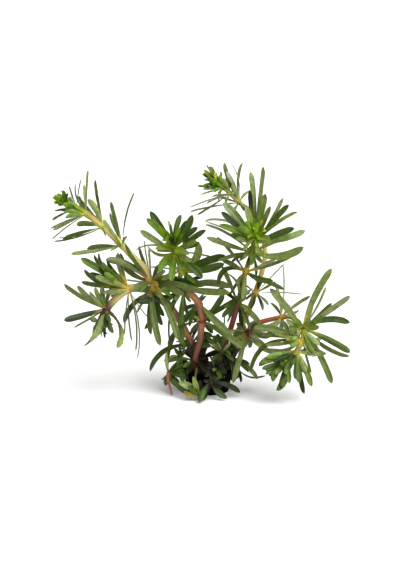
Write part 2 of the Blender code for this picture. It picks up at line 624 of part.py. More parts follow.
def add_pot(collection, cutters, finish):
    """A turned cup with a lip round its mouth and upright slots in its wall."""
    lip_radius = POT_TOP_RADIUS + POT_LIP
    lip_underside = POT_HEIGHT - POT_WALL
    profile = [
        (0, POT_WALL),
        (POT_FOOT_RADIUS - POT_WALL, POT_WALL),
        (POT_TOP_RADIUS - POT_WALL, POT_HEIGHT),
        (lip_radius, POT_HEIGHT),
        (lip_radius, lip_underside),
        (POT_TOP_RADIUS - LIP_UNDERCUT, lip_underside),
        (POT_FOOT_RADIUS, 0),
        (0, 0),
    ]
    mesh = bmesh.new()
    corners = [mesh.verts.new((radius, 0, height)) for radius, height in profile]
    for first, second in zip(corners, corners[1:]):
        mesh.edges.new((first, second))
    pot = add_mesh_object("pot", mesh, collection, finish)
    turn = pot.modifiers.new("Turned wall", "SCREW")
    turn.steps = POT_SIDES
    turn.render_steps = POT_SIDES
    turn.use_merge_vertices = True
    turn.merge_threshold = 0.00001

    mesh = bmesh.new()
    for i in range(SLOT_COUNT):
        bar = bmesh.ops.create_cube(mesh, size=1)["verts"]
        bmesh.ops.scale(mesh, vec=(SLOT_CUTTER_DEPTH, SLOT_WIDTH, SLOT_HIGH - SLOT_LOW), verts=bar)
        bmesh.ops.translate(mesh, vec=(POT_TOP_RADIUS, 0, (SLOT_HIGH + SLOT_LOW) / 2), verts=bar)
        turned = Matrix.Rotation(math.tau * (i + 0.5) / SLOT_COUNT, 3, "Z")
        bmesh.ops.rotate(mesh, cent=(0, 0, 0), matrix=turned, verts=bar)
    slots = add_mesh_object("pot_slots_cutter", mesh, cutters, finish)
    slots.hide_render = True
    slots.display_type = "WIRE"
    cut = pot.modifiers.new("Slots", "BOOLEAN")
    cut.operation = "DIFFERENCE"
    cut.solver = "EXACT"
    cut.object = slots


def add_medium(collection, finish):
    """A plug of rooting medium that fills the pot, clear of its wall and floor."""
    low = POT_WALL + GAP
    rise = MEDIUM_TOP - low
    slope = (POT_TOP_RADIUS - POT_FOOT_RADIUS) / POT_HEIGHT
    low_radius = POT_FOOT_RADIUS - POT_WALL - MEDIUM_SIDE_GAP
    mesh = bmesh.new()
    plug = bmesh.ops.create_cone(
        mesh,
        cap_ends=True,
        segments=POT_SIDES,
        radius1=low_radius,
        radius2=low_radius + slope * rise,
        depth=rise,
    )
    bmesh.ops.translate(mesh, vec=(0, 0, low + rise / 2), verts=plug["verts"])
    add_mesh_object("growing_medium", mesh, collection, finish)


def build():
    for old in list(bpy.data.objects):
        bpy.data.objects.remove(old)
    plant = bpy.data.collections.new("rotala_in_pot")
    bpy.context.scene.collection.children.link(plant)
    cutters = bpy.data.collections.new("cutters")
    bpy.context.scene.collection.children.link(cutters)

    black_plastic = material("black pot plastic", (0.012, 0.011, 0.014), 0.45)
    dark_medium = material("dark rooting medium", (0.020, 0.016, 0.012), 0.95)
    old_stem = material("pinkish brown stem", (0.36, 0.15, 0.09), 0.5)
    young_stem = material("yellow stem", (0.52, 0.40, 0.12), 0.5)
    green_leaf = material("green leaf", (0.08, 0.19, 0.03), 0.45)
    young_leaf = material("young bright leaf", (0.13, 0.29, 0.03), 0.42)

    add_pot(plant, cutters, black_plastic)
    add_medium(plant, dark_medium)
    for name, rows in STEMS.items():
        add_stem(name, rows, plant, old_stem if name in OLD_STEMS else young_stem)
        add_rings(rows, plant, green_leaf, young_leaf)


build()
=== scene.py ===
"""The looks of a potted rotala bunch: every leaf, stem, collar and bud, the net pot and its medium.

Places are written in millimetres and turned to metres when a mesh is made. The bunch is laid out
in a front view that looks down by 15 degrees: across to the right, up the view, and back from the
pot's axis or toward the viewer, as the solids are. The origin is the pot's flat underside.
"""

import math

import bpy
import numpy as np
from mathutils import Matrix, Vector


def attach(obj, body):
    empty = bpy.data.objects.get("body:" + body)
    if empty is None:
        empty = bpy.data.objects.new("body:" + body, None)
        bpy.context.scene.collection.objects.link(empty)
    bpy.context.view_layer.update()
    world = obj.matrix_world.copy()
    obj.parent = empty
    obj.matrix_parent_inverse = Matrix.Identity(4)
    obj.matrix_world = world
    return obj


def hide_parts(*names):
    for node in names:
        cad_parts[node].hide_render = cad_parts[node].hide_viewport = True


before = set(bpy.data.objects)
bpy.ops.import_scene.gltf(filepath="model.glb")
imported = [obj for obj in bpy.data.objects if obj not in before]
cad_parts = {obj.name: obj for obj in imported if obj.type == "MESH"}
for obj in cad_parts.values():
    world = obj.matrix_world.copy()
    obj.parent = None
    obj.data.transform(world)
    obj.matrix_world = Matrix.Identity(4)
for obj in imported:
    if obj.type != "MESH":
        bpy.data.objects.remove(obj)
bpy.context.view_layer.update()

MM = 0.001

VIEW_TILT = math.radians(15)
ACROSS = np.array((1.0, 0.0, 0.0))
UP = np.array((0.0, math.sin(VIEW_TILT), math.cos(VIEW_TILT)))
TOWARD = np.array((0.0, -math.cos(VIEW_TILT), math.sin(VIEW_TILT)))

# The pot and its medium, as in the solids.
POT_HEIGHT = 12.5
POT_TOP_RADIUS = 13.8
POT_FOOT_RADIUS = 11.3
POT_WALL = 1.1
POT_LIP = 0.9
SLOT_COUNT = 8
SLOT_WIDTH = 1.8
SLOT_LOW = 2.6
SLOT_HIGH = 9.2
MEDIUM_TOP = 11.0

# How the pot and the medium are drawn: rows of points from the middle of the floor up the wall,
# points on a rib between two slots, and the squareness of the lip's section.
FLOOR_RADII = (2.0, 5.0, 8.0, 10.2, 10.9)
WALL_HEIGHTS = (0.8, 1.2, 1.9, SLOT_LOW, 4.2, 5.9, 7.6, SLOT_HIGH, 10.0, 11.0, 11.8)
RIB_POINTS = 12
MOULDED_EDGE = 0.12
LIP_GRID = (96, 20)
LIP_POWER = 0.55
MEDIUM_RADII = np.array((1.5, 3, 4.5, 6, 7.5, 9, 10.2, 11.2, 11.9, 12.2, 12, 11, 10.2, 9))
MEDIUM_RISES = np.array((0, 0, 0, 0, 0, 0, 0, -0.1, -0.4, -1, -3, -7, -9.3, -9.5))
MEDIUM_COLUMNS = 72
GRAINS = 220
GRAINS_REACH = 8.3
MEDIUM_TINT = (0.006, 0.005, 0.004)
GRAIN_TINT = (0.009, 0.007, 0.006)

# The layout rules of the solids' rings of leaves.
GAP = 0.3
LEAF_WIDTH = 3.0
YOUNG_LEAF_WIDTH = 2.2
LEAF_ARCH = 0.07
COLLAR_WALL = 0.45
COLLAR_HALF_HEIGHT = 0.85
LEAST_ANGLE = math.radians(30)
CROWDED_SHARE = 0.8
WIDEST_BARE_ARC = math.radians(70)
SPREAD_PASSES = 80
KEEL_SHARE = 0.7

# The stems: the step between sections, how far each goes into the medium and past its last row,
# how the skin's ridges stand, and how far and wide each node swells.
STEM_STEP = 0.8
STEM_SIDES = 16
ROOTED = 2.0
END_REACH = 0.9
END_SHARE = 0.8
RIDGE = 0.03
NODE_SWELL = 0.14
NODE_REACH = 1.5
# Where an end's dome has its rows, as shares of its radius, and how flat the dome is.
DOME = np.array((0.45, 0.8, 0.95))
DOME_SQUASH = 0.6
# How much fuller each stem is drawn at its root and at its end.
STEM_FULLNESS = {
    "main_stem": (0.86, 1.78), "left_stem": (1.25, 1.7), "back_stem": (1.15, 1.15), "red_shoot": (1.5, 1.5),
}
PLAIN_FULLNESS = (1.1, 1.1)

# The collars: how far they stand off the stem and reach into it, and their grid.
COLLAR_STANDS = 0.75
COLLAR_HOLE = 0.7
COLLAR_GRID = (20, 10)
TIP_RIM = 1.0

# How leaves are drawn. Each starts inside its stem, and one that the view sees narrower than
# SLIM_BELOW is drawn slim, thin, flatter, and with less of its base's tone.
ROOT_SHARE = 0.4
LEAF_ROWS = 20
ROW_POWER = 0.92
FULLER = 1.2
SLENDER = 1.04
SLENDER_RINGS = ("back_", "main_ring_6", "main_ring_7", "main_ring_8", "main_ring_9", "main_tip")
SLIM_BELOW = 1.3
SLIM_SHARE = 0.6
SLIM_FOLD = 0.4
SLIM_GLOW = 0.4
MORE_SHARE = 0.8
LEAF_THICKNESS = 0.48
SLIM_THICKNESS = 0.34
THINNING = 0.18
# How wide a leaf starts out: in a bud, where it's slender, and otherwise.
BUD_WAIST = 0.42
SLENDER_WAIST = 0.2
FULL_WAIST = 0.34
WIDEST_AT = 0.62
TIP_LENGTH = 1.45
TIP_SHARES = (0.06, 0.5)
TIP_POWER = 0.65
FOLDS = (0.2, 0.4)
FOLD_POWER = 1.25
TWIST = 0.35
TWIST_POWER = 1.5
NOTCH_DEPTH = 0.2
NOTCH_WAVES = (37, 23)
# The waves along a leaf's edges: how high and how long.
SLOW_WAVE = (0.06, 9.0)
QUICK_WAVE = (0.03, 3.7)
# The midrib: its half width as a share of the blade's, the groove's depth and the keel's.
RIB_SHARE = 0.17
GROOVE = 0.16
KEEL = 0.22
# The keel's loss by the tip, and the half width below which groove and keel sink away.
KEEL_FADE = 0.6
RIB_FADES_BELOW = 0.8
# A blade thins toward its ends where its half width is under this share of its width.
THINS_BELOW = 0.16
# A blade's section: where its points stand across the width, from the right edge over the upper
# side to the left edge, then back along the lower side.
UPPER_SIDE = (1, 0.88, 0.62, 0.34, 0.13, 0, -0.13, -0.34, -0.62, -0.88, -1)
LOWER_SIDE = (-0.88, -0.5, -0.2, 0, 0.2, 0.5, 0.88)
SECTION = np.array(UPPER_SIDE + LOWER_SIDE).reshape(1, 1, -1, 1)
IS_UPPER = np.array((1,) * len(UPPER_SIDE) + (0,) * len(LOWER_SIDE)).reshape(1, 1, -1, 1)

# Each bud: how many small leaves, how long the outer ones are, the core's tone, and how light the outer
# ones are. The dark cores are painted shade deep inside the buds, and the small buds' near-black core
# and dim outer leaves are painted shade by the pot.
BUDS = {
    "main_tip": (12, 7.8, "#2A4408", 0.62), "back_tip": (7, 6.8, "#2C4A08", 0.7),
    "middle_tip": (11, 7.0, "#6E8A10", 1.0), "centre_tip": (9, 6.5, "#1C340A", 0.7),
    "right_tip": (8, 6.0, "#3A5A10", 0.9), "left_tip": (5, 4.5, "#3A3A18", 0.7),
}
SMALL_BUD = (4, 4.0, "#141C08", 0.25)
BUD_TONES = ("#708A14", "#4E740C", "#3A6008", "#64820E")
GOLDEN_ANGLE = math.pi * (3 - math.sqrt(5))

# The view, the light and the floor.
SENSOR = 36.0
CAMERA_DISTANCE = 3000.0
PHOTO_HEIGHT = 570
MM_PER_PIXEL = 0.55
VIEW_CENTRE_ACROSS = -4.4
VIEW_CENTRE_UP = 57.75
FLOOR_REACH = 6.0
WORLD_STRENGTH = 0.5
LIGHTS = (
    ("overhead bank of lamps", (0.5, -0.45, 1.0), 55, 3.85),
    ("front lamp", (0.4, -1.2, 0.6), 30, 0.7),
)

# Tone "n", near black, is mostly painted shade: it marks leaves, and leaves added between others, where the
# bunch lies deep in shadow round the pot and between the stems. On the wilted left tip it is the dead
# leaves' own dark.
LEAF_TONES = {
    "b": "#A4B02E", "v": "#62800E", "m": "#567020", "g": "#768549", "d": "#35480D",
    "l": "#9CA856", "u": "#596730", "o": "#665C24", "y": "#806C26", "s": "#667532",
    "t": "#606F34", "p": "#5E6E22", "q": "#66743C", "n": "#141005", "z": "#403C18",
    "a": "#767C4E", "w": "#5E7234", "k": "#22300A", "h": "#3E6000", "c": "#A28C3A",
}
# Tips of another tone, and how far along the leaf they begin.
TIP_TONES = {
    "o": ("#4C3B24", 0.86), "p": ("#5A4C2E", 0.82), "q": ("#3A4A3C", 0.84), "y": ("#6C5826", 0.86),
    "t": ("#2C2A18", 0.72), "z": ("#66782C", 0.38), "w": ("#7E8C5A", 0.55),
}
PLAIN_TIP_FROM = 0.86
# A tip's tone comes over this share of the leaf at least, or this share of what is left of it.
TIP_BLEND = (0.14, 0.6)
TIP_CAST = np.array((1.05, 0.97, 0.9))
TINT_SPREAD = (0.88, 1.12)
# Damaged leaves: places along each, and how wide it is there.
DAMAGED = {
    "t": ((0, 0.12, 0.36, 0.56, 0.7, 0.86, 1), (0.5, 0.9, 1.2, 0.95, 0.55, 0.3, 0.22)),
    "z": ((0, 0.36, 0.46, 0.6, 0.85, 1), (0.5, 0.36, 0.5, 0.72, 0.8, 0.62)),
}
# Tone "m" is the stem's pinkish tan lightened with painted light, for a stretch that a leaf above shades.
STEM_TONES = {
    "p": "#8E5C3A", "r": "#702814", "b": "#623A24", "m": "#A47042", "y": "#D2BE7A", "a": "#BCAE5C",
    "t": "#C0AA70", "o": "#A68A2C", "g": "#6B7B38", "d": "#3C3E1E", "k": "#94583F", "e": "#8E9A30",
    "x": "#42190E", "h": "#2C2414", "n": "#544C12", "c": "#A0582E", "s": "#5C6A24",
}
# The tone of a leaf near its collar, the share of its length that it reaches, and where it begins
# to give way to the leaf's own.
PLAIN_BASE = ("#5C682A", 0.34)
BASE_START = 0.02

# Each stem: the tone of each of its rows, the tone of the node at each of its rings, and its rows.
# A row is how far the stem's middle is across, up and back, its radius, and the ring that it bears.
STEMS = {
    # The two rows of "m" on this stem are its own pinkish tone lightened as painted light, where the leaf
    # above shades the stem.
    "main_stem": ("rbbbppmmpoyyyaoeg", "xrppoeeeg", [
        (-6.5, 9.5, -5.5, 1.9), (-7.5, 16.5, -6.5, 1.9, "main_ring_1"), (-6, 22, -6.8, 1.85),
        (-4.5, 27.5, -6.5, 1.85), (-3.5, 38, -6, 1.8, "main_ring_2"), (-5, 47, -5, 1.75, "main_ring_3"),
        (-9, 52.5, -4.5, 1.7), (-13, 55.5, -4, 1.65, "main_ring_4"), (-22, 57, -3.5, 1.55),
        (-31, 59.5, -3, 1.5, "main_ring_5"), (-34, 66, -2, 1.4), (-40.5, 72.5, -1, 1.3),
        (-47, 79.5, 0.5, 1.25, "main_ring_6"), (-57.5, 89.5, 2, 1.1, "main_ring_7"),
        (-66.5, 96.5, 3, 1, "main_ring_8"), (-72, 100, 3.5, 0.9, "main_ring_9"),
        (-77, 103, 3.5, 0.75, "main_tip"),
    ]),
    "left_stem": ("bppppgggttxx", "boox", [
        (-5, 11, 1, 1.4), (-7.5, 21, 0.5, 1.4), (-9, 25, 0, 1.4, "left_ring_1"), (-13, 34, 0, 1.4),
        (-17, 40.5, 0, 1.4), (-23, 48.5, 0.5, 1.4), (-31, 54.5, 1.5, 1.4, "left_ring_2"),
        (-37.5, 56, -1.5, 1.4), (-43.5, 55.5, -5, 1.4, "left_ring_3"), (-49.5, 51, -8, 1.3),
        (-55.5, 44.5, -11, 1.15, "left_ring_4"), (-59, 39, -12.5, 0.8, "left_tip"),
    ]),
    "centre_branch": ("oeggg", "oeg", [
        (-16.5, 58, -4.3, 1.3), (-15, 65.5, -6, 1.25, "centre_ring_1"),
        (-18, 75.5, -9.5, 1.1, "centre_ring_2"), (-18.5, 78, -10.7, 1, "centre_ring_3"),
        (-19, 81, -11.8, 0.8, "centre_tip"),
    ]),
    "back_stem": ("bdsoottttteeg", "oeeg", [
        (7, 12, 4, 1.4), (11.5, 21, 5, 1.4), (15.5, 30.5, 6, 1.4), (20.5, 39.5, 7.5, 1.4),
        (26, 53.5, 9.5, 1.35, "back_ring_1"), (31, 70.5, 11.5, 1.3), (31, 80, 13, 1.25), (29.5, 89, 14, 1.2),
        (25.5, 96.5, 14.5, 1.15), (17, 103, 14.5, 1.05, "back_ring_2"), (12, 108, 14, 0.95, "back_ring_3"),
        (8, 111, 13.5, 0.85, "back_ring_4"), (5.5, 113, 13, 0.75, "back_tip"),
    ]),
    "middle_stem": ("xxrbsogggg", "dboggg", [
        (4, 10, -4, 1.4), (8, 21, -4.5, 1.4, "middle_ring_1"), (11.5, 31, -5, 1.4),
        (16.5, 48, -6, 1.4, "middle_ring_2"), (18, 55, -6.8, 1.35), (20.5, 65, -8.5, 1.35, "middle_ring_3"),
        (24, 75.5, -11, 1.3, "middle_ring_4"), (25, 80.5, -12.5, 1.2, "middle_ring_5"),
        (25.5, 83.5, -13.5, 1.05, "middle_ring_6"), (25.5, 86, -14.3, 0.85, "middle_tip"),
    ]),
    "right_stem": ("hhhxbcceeeeg", "xxonoo", [
        (8, 10.5, -2, 1.5), (13, 18, -2.8, 1.5, "right_ring_1"), (18, 26, -4, 1.45),
        (21.5, 31, -5, 1.4, "right_ring_2"), (26.5, 36, -6, 1.3), (30.5, 38, -7, 1.2),
        (40, 40, -9, 1.2, "right_ring_3"), (46, 40, -11, 1.2), (51.5, 34, -14, 1.2, "right_ring_4"),
        (51.5, 27.5, -17.5, 1.15, "right_ring_5"), (48.5, 21.5, -21, 1.05, "right_ring_6"),
        (44, 17, -24, 0.85, "right_tip"),
    ]),
    "red_shoot": ("egekkk", "k", [
        (-9, 10.5, -1, 0.65), (-13, 13.5, -2.5, 0.65), (-17.5, 12, -5.5, 0.6),
        (-21.5, 9.5, -8, 0.6, "red_shoot_ring"), (-21.5, 4.5, -9.5, 0.55), (-20, -1.5, -11.5, 0.4),
    ]),
    "low_shoot_left": ("ggg", "", [
        (-9.5, 11.5, 3.2, 0.8), (-11.5, 15, 1.5, 0.8), (-14, 17.5, -1.5, 0.7, "low_shoot_left_tip"),
    ]),
    "low_shoot_front": ("ddd", "", [
        (-1, 10, -3, 0.7), (0.5, 14.5, -6.5, 0.7), (3.5, 13, -11, 0.65, "low_shoot_front_tip"),
    ]),
    "foot_shoot_front": ("dddd", "", [
        (2, 8.5, -9.5, 0.7), (2, 10.5, -13, 0.7), (1.5, 8.5, -16, 0.65),
        (1.5, 6, -17, 0.6, "foot_shoot_front_tip"),
    ]),
    "foot_shoot_left": ("ddddd", "", [
        (-5, 9, -9.4, 0.7), (-6, 12, -12.4, 0.7), (-7, 7, -15.8, 0.65), (-6.5, 3, -18, 0.6),
        (-5.5, -1, -20, 0.6, "foot_shoot_left_tip"),
    ]),
}

# Each ring or bud: the tones of its leaves, the tone near the collar with the share of a
# leaf that it reaches, and the leaves. Tones before the plus are of the leaves that the solids have
# too, some of them slimmer or straighter here. Those after it are of leaves that grow between
# them, within the reach of the ring's solid. A leaf is how far its tip is across, up and toward
# the viewer from the ring's centre, the width that the front view sees of it, and, where it isn't
# straight, how far its middle bows to the left of its way out.
# The near-black collar tones of main_ring_1, left_ring_1, middle_ring_1, right_ring_1 and the two front
# shoots' tips are painted shade, where those leaves meet in the dark round the pot.
RINGS = {
    "main_ring_6": ("dgudwsvm+uss", ("#9AA238", 0.3), [
        (-19, -2, 11, 2.4), (-28, -5, 0, 2.2, 1), (7, 29, 2, 1.1, 1), (-6, 24, 4, 2.2), (-7, 18, -10, 2.2),
        (-10, 14, 13, 2.2), (-4, 1, 9, 1.6), (-2, 7, -14, 1.6), (-17, -4, -3, 1.8), (3, 5, 10, 1.6),
        (-6, -3, 10, 1.8),
    ]),
    "main_ring_7": ("dadsuams+a", ("#98A438", 0.36), [
        (-22, -7, 2, 2), (-25, -6, -5, 0.5, 2), (-14, 1, 15, 3, -1), (-8, 15, 8, 3.3, -1), (-4, 26, -2, 1.8),
        (-14, 17, -6, 2.2), (-4, 7, -15, 1.6), (2, -5, 12, 0.9), (-27, -8, -7, 0.7, 2),
    ]),
    "main_ring_8": ("guaagmas+mgv", ("#98A438", 0.36), [
        (1, 24, 0, 1.1), (-18, -9, 5, 2.3), (-19, -14, -4, 0.7), (-6, 17, -6, 1.1, 2), (-1, 16, 8, 1.2),
        (-11, -2, 15, 2.8), (-20, -8, -9, 0.8), (-4, 6, -14, 1.6), (-11, 2, 9, 2.4), (-4, 10, -4, 1.8),
        (-7, 6, 6, 2),
    ]),
    "main_ring_9": ("dgduausm+vgvmsh", ("#8A9C30", 0.4), [
        (-12, -2, 4, 1.4), (-13, -6, -3, 0.7), (-13, -7, 9, 1.1), (-4, 12, -8, 1.1), (-9, 10, -6, 0.8),
        (3, 16, 0, 0.7), (-7, -4, 11, 1.6), (-2, 4, -10, 1.6), (-7, 2, 6, 3), (-4, 6, 2, 2.6),
        (-6, 0, 9, 2.6), (-2, 3, -3, 1.6), (-8, -2, -2, 1.6), (-4, 1, 11, 3),
    ]),
    "main_tip": ("hvhvhhv+vvhvhh", ("#7C9A1E", 0.4), [
        (-7, 2, -3, 1.6), (-6, 3, 4, 2.5), (-1, 6, 1, 2.2), (-4, -2, 5, 1.6), (2, 4, 5, 1.6),
        (-3, -3, -3, 1.4), (-2, 2, 8, 1.6), (-7, 2, 3, 1.8), (-4, 4, 3, 2.2), (-2, 3, 4, 2.4),
        (-4, 0, 6, 2.4), (-6, -1, 7, 2.2), (-1, 1, 9, 2.6),
    ]),
    "main_ring_5": ("duuqguaauud+gmdmsmuuuccc", ("#94702C", 0.32), [
        (-14, 21, 10, 2.2, 1), (-7, 20, -11, 1.9), (-25, 12, 9, 3.3, -3), (-17, 16, -9, 2.9, 4),
        (-14, 1, -2, 0.8), (-10, -4, 15, 3.3), (-4, 23, -16, 0.8), (-1, 19, 11, 1.1), (5, -35, 8, 3),
        (15, -32, 13, 3, 3), (30, -2, 12, 3.6), (8, 6, 12, 2.2), (13, 3, 13, 2.4), (5, 10, 5, 2),
        (11, -8, 10, 2.2), (6, -9, 13, 2.2), (-6, -6, 10, 1.6), (27, -5, 12, 3.2), (21, -3, 13, 2.8),
        (18, -7, 12, 3), (4, -2, 14, 2.4), (6, -6, 13, 2.2), (2, -5, 14, 2),
    ]),
    "main_ring_4": ("uududdm+ddmdndmsku", PLAIN_BASE, [
        (26, 1, 5, 3.3, 2), (25, -2, 10, 3.3, -1), (-1, -31, 0, 3), (-25, -4, 0, 3.6, 3),
        (-7, -31, 2, 1.1, -3), (4, 15, -16, 1.6), (-7, 10, -15, 1.6), (-10, -7, 8, 2), (-7, -9, 5, 2),
        (-5, -6, 12, 2.2), (3, -16, -6, 1.6), (10, 6, -3, 1.8, 1), (11, 3, 9, 2.8), (-5, 7, -8, 2.4),
        (4, -7, 8, 1.8), (-26, -7, 4, 2.6, 1.5), (-13, 0, 9, 2.6),
    ]),
    "main_ring_3": ("uddd+ddddd", PLAIN_BASE, [
        (17, -16, 9, 3.3, -1), (3, 6, -15, 1.6), (-9, -4, -12, 2.2), (-5, -12, 12, 1.6), (-7, -10, -6, 1.8),
        (-10, -11, -4, 2.4), (-2, -10, -8, 2.6), (6, -10, -2, 2.4), (4, 5, -8, 1.6),
    ]),
    "main_ring_2": ("duddnd+ddsd", PLAIN_BASE, [
        (-18, -14, 11, 1.6, -3), (23, -15, 10, 3.1), (12, 15, 5, 2.8, -1), (20, 12, 8, 2.2),
        (-4, -8, -14, 2.2), (4, 6, -16, 1.6), (-6, -8, -7, 2), (6, -7, -6, 3), (-5, 3, 8, 1.6),
        (7, 2, -8, 2.4),
    ]),
    "main_ring_1": ("dnnn+nnndnnnnnnnnnk", ("#2A3010", 0.3), [
        (-14, -1, 8, 2, -1), (5, 4, -9, 1.6), (7, -7, 11, 1.9), (-3, -6, 12, 1.6), (6, 4, -7, 2.6),
        (6, 7, 2, 1.8), (8, 0, -9, 2.6), (-6, -4, 6, 2), (-4, -8, 6, 2.2), (5, -6, 4, 2), (-5, 4, -5, 2),
        (7, 2, -5, 3), (9, -3, -8, 3), (6, -2, -3, 3), (3, 6, -8, 2.6), (-3, 8, 6, 3), (7, 8, -9, 3),
        (7, 13, -9, 3),
    ]),
    "left_ring_1": ("ddddsddd+nndnkdnn", ("#2A3010", 0.3), [
        (-4, -2, 8, 2.2, -3), (12, 4, 8, 2.5, 3), (11, -1, 1, 3), (16, -3, -8, 1.4, 2), (-9, 2, -3, 0.8),
        (2, 7, -9, 1.6), (-5, -3, -9, 1.6), (-23, -15, -9, 2.5, -4), (-2, -5, 4, 3), (1, -6, -4, 3),
        (-3, 3, 6, 2.2, 1), (4, -4, -7, 2.6), (7, 0, -9, 2.4), (1, 6, -6, 1.8), (-1, -4, 2, 3),
        (8, -5, -10, 2.6),
    ]),
    "left_ring_2": ("dddudm+udnad", ("#5A5A20", 0.3), [
        (-15, -18, -5, 2.4, -2), (-4, -21, -6, 2.2, 5), (6, -19, -5, 2.5), (0, -24, 7, 2.2),
        (3, 10, -16, 1.6), (11, -10, -11, 2.2), (4, -17, -5, 3), (7, -14, -3, 2.6), (8, -7, -8, 2.6),
        (-8, -12, -4, 1), (5, -10, 8, 2.4),
    ]),
    "left_ring_3": ("mddmdsauuuudu+ddmdgumdmdsms", ("#BCA83E", 0.6), [
        (-26, 17, 4, 3.3, -1), (-19, 19, -6, 1.6, 1), (-16, 20, 6, 1.6, 3), (-14, 15, 12, 1.6),
        (-24, 11, 9, 1.9, 3), (-26, 4, -3, 2.2), (-6, 20, -10, 3), (-11, -2, 15, 2.8), (-2, -25, -3, 0.8),
        (4, -34, 3, 0.8, 3), (13, -18, -6, 0.4), (2, -29, -9, 0.8), (5, -38, 9, 0.8, 4), (-21, 9, 7, 2.8),
        (-16, 11, 3, 2.6), (-15, 14, 6, 2.8), (-12, 16, -4, 2), (-18, 7, 10, 2.6), (-14, -2, 9, 2.2),
        (-9, 12, 3, 2), (-10, -4, -6, 1.8), (-13, 9, 12, 2.6), (-13, 3, 4, 2.6), (-8, 4, 13, 2.4),
        (-7, -2, 10, 1.8), (-6, 9, 9, 1.8),
    ]),
    "left_ring_4": ("uakutmgzd+ggqudkdgm", ("#A49A50", 0.3), [
        (-23, 14, 5, 2.1), (-16, 13, -5, 2.2), (-23, -6, 8, 3), (-18, -10, -3, 1.1), (-12, -20, 9, 3.3, 2),
        (-2, 14, -8, 2.2), (-6, 12, 10, 1.6), (6, -21, 7, 3.3, 5), (-1, -16, -6, 0.8), (-9, 10, 6, 1.8),
        (-6, 12, -2, 2), (-2, 13, 4, 2.2), (3, 12, -5, 2), (4, -13, 5, 2.4, -1), (0, -10, 8, 2.4),
        (2, -7, 9, 2.2), (-6, 7, 11, 2), (-2, 7, 12, 1.6),
    ]),
    "left_tip": ("gdtdds+stzdnnnn", PLAIN_BASE, [
        (-4, 3, 5, 1.6), (-3, -4, 4, 1.6), (-1, -7, 1, 1.6), (4, -6, 5, 1.6), (4, -1, -4, 1.4),
        (-5, 1, -3, 1.6), (-3, -7, 4, 2.2), (2, -9, 5, 1.4), (7, -5, 3, 2.4, 2), (0, -8, 0, 1.4),
        (5, -7, 2, 1.2, -1), (3, -9, 1, 1, 1), (8, -2, 1, 1.4, 1), (6, -4, 3, 1.4, 1),
    ]),
    "centre_ring_1": ("dddsumd+gmssmgd", ("#A89A3A", 0.3), [
        (25, 8, 6, 3.6), (24, 4, 11, 3.6, -2), (6, 30, -5, 2.5), (9, 16, -9, 3.8, -4), (-17, 2, -4, 0.8),
        (12, -4, 14, 3.3, 3), (-12, 5, -14, 1.6), (-10, -5, 9, 2.2), (6, 7, 11, 2.2), (3, 13, 7, 1.4),
        (2, 14, -6, 1.2), (8, -7, 8, 2.2), (-7, 5, 8, 1.8), (11, 5, -7, 2.6),
    ]),
    "centre_ring_2": ("duugmmsg+dmgms", ("#93A020", 0.45), [
        (17, 12, 8, 2.8), (21, -3, -8, 0.8), (-22, 1, -6, 0.8, -3), (-19, 12, 2, 3, 0.5),
        (-9, -11, 15, 3.3, -1), (-2, -16, 14, 3.3), (12, 6, 12, 2.5), (-15, 4, 9, 1.6, 4), (15, -14, 9, 3.2),
        (5, -13, 12, 2.6), (9, -5, 13, 2.4), (-6, -8, 10, 2.8), (-10, 1, -8, 1.8),
    ]),
    "centre_ring_3": ("dmguddssd+ddvshvvvkkv", ("#8A9A1C", 0.45), [
        (-13, 20, 2, 3.3), (-15, 16, 8, 3.3, -1), (-3, 15, -12, 1.1), (4, 18, 6, 2.5, 1),
        (10, 18, 3, 3.3, -1), (13, 11, 12, 2.2), (-10, -1, 14, 2.2), (8, -4, 14, 2.2), (3, 7, -14, 1.6),
        (14, 3, 5, 2.6, -1), (7, 15, -2, 3), (-4, 6, 11, 2.6), (-9, 1, 8, 2), (4, 7, 11, 2.6),
        (-6, 2, 10, 2.4), (-1, 9, 3, 2), (-8, 12, 9, 2.6), (-2, 6, 12, 2.4), (1, 4, 13, 2.2),
        (2, -3, 12, 1.6),
    ]),
    "centre_tip": ("vvmmmmv", ("#6C8A1A", 0.4), [
        (-5, 6, 4, 2.2), (4, 7, 3, 2.2), (-1, 9, 1, 1.6), (5, 1, 5, 1.6), (-6, 0, 4, 1.6), (0, -4, 6, 1.6),
        (-1, 3, 7, 1.6),
    ]),
    "back_ring_2": ("wwaaaaagg+gsm", ("#929C30", 0.4), [
        (-7, 17, 4, 2, -1), (-8, 22, -2, 2.4, 1), (2, 22, -4, 1.4, 1), (-4, 21, 4, 0.4, -2),
        (-12, 3, -6, 1.4), (-27, -5, -7, 1.1), (7, 7, -11, 1.6), (-3, -6, 12, 1.6), (6, -5, 10, 1.6),
        (-4, 10, 6, 2.2), (-9, -1, 7, 1.2), (4, -5, 8, 1.6),
    ]),
    "back_ring_3": ("aauagvg+sag", ("#929C30", 0.4), [
        (-22, -8, 6, 0.9), (-13, -6, 10, 1.3), (-18, -12, 1, 1.1, 1), (-10, -2, 11, 1.1), (-1, 12, -9, 1.6),
        (-7, 9, -11, 1.6), (-2, -6, 12, 1.4), (-4, 8, 6, 2.2), (-9, -3, 7, 1), (-2, 10, -5, 1.8),
    ]),
    "back_ring_4": ("gagdsgs+hmvhsg", ("#7E8E24", 0.4), [
        (-10, 9, 2, 2.2), (-9, 13, -7, 0.8), (-12, -4, 4, 1.1), (-14, 1, -2, 1.1), (-6, 12, -8, 1.6),
        (-2, -8, -7, 1.4), (-1, 9, -6, 1.1), (-7, 5, 7, 2.8), (-5, -2, 6, 2), (-2, 7, 4, 2.4),
        (-7, 1, 3, 2.4), (-2, -4, 7, 1.6), (-11, -1, 3, 1.8),
    ]),
    "back_tip": ("gbvdvbv+vshdhs", ("#7C9A1E", 0.4), [
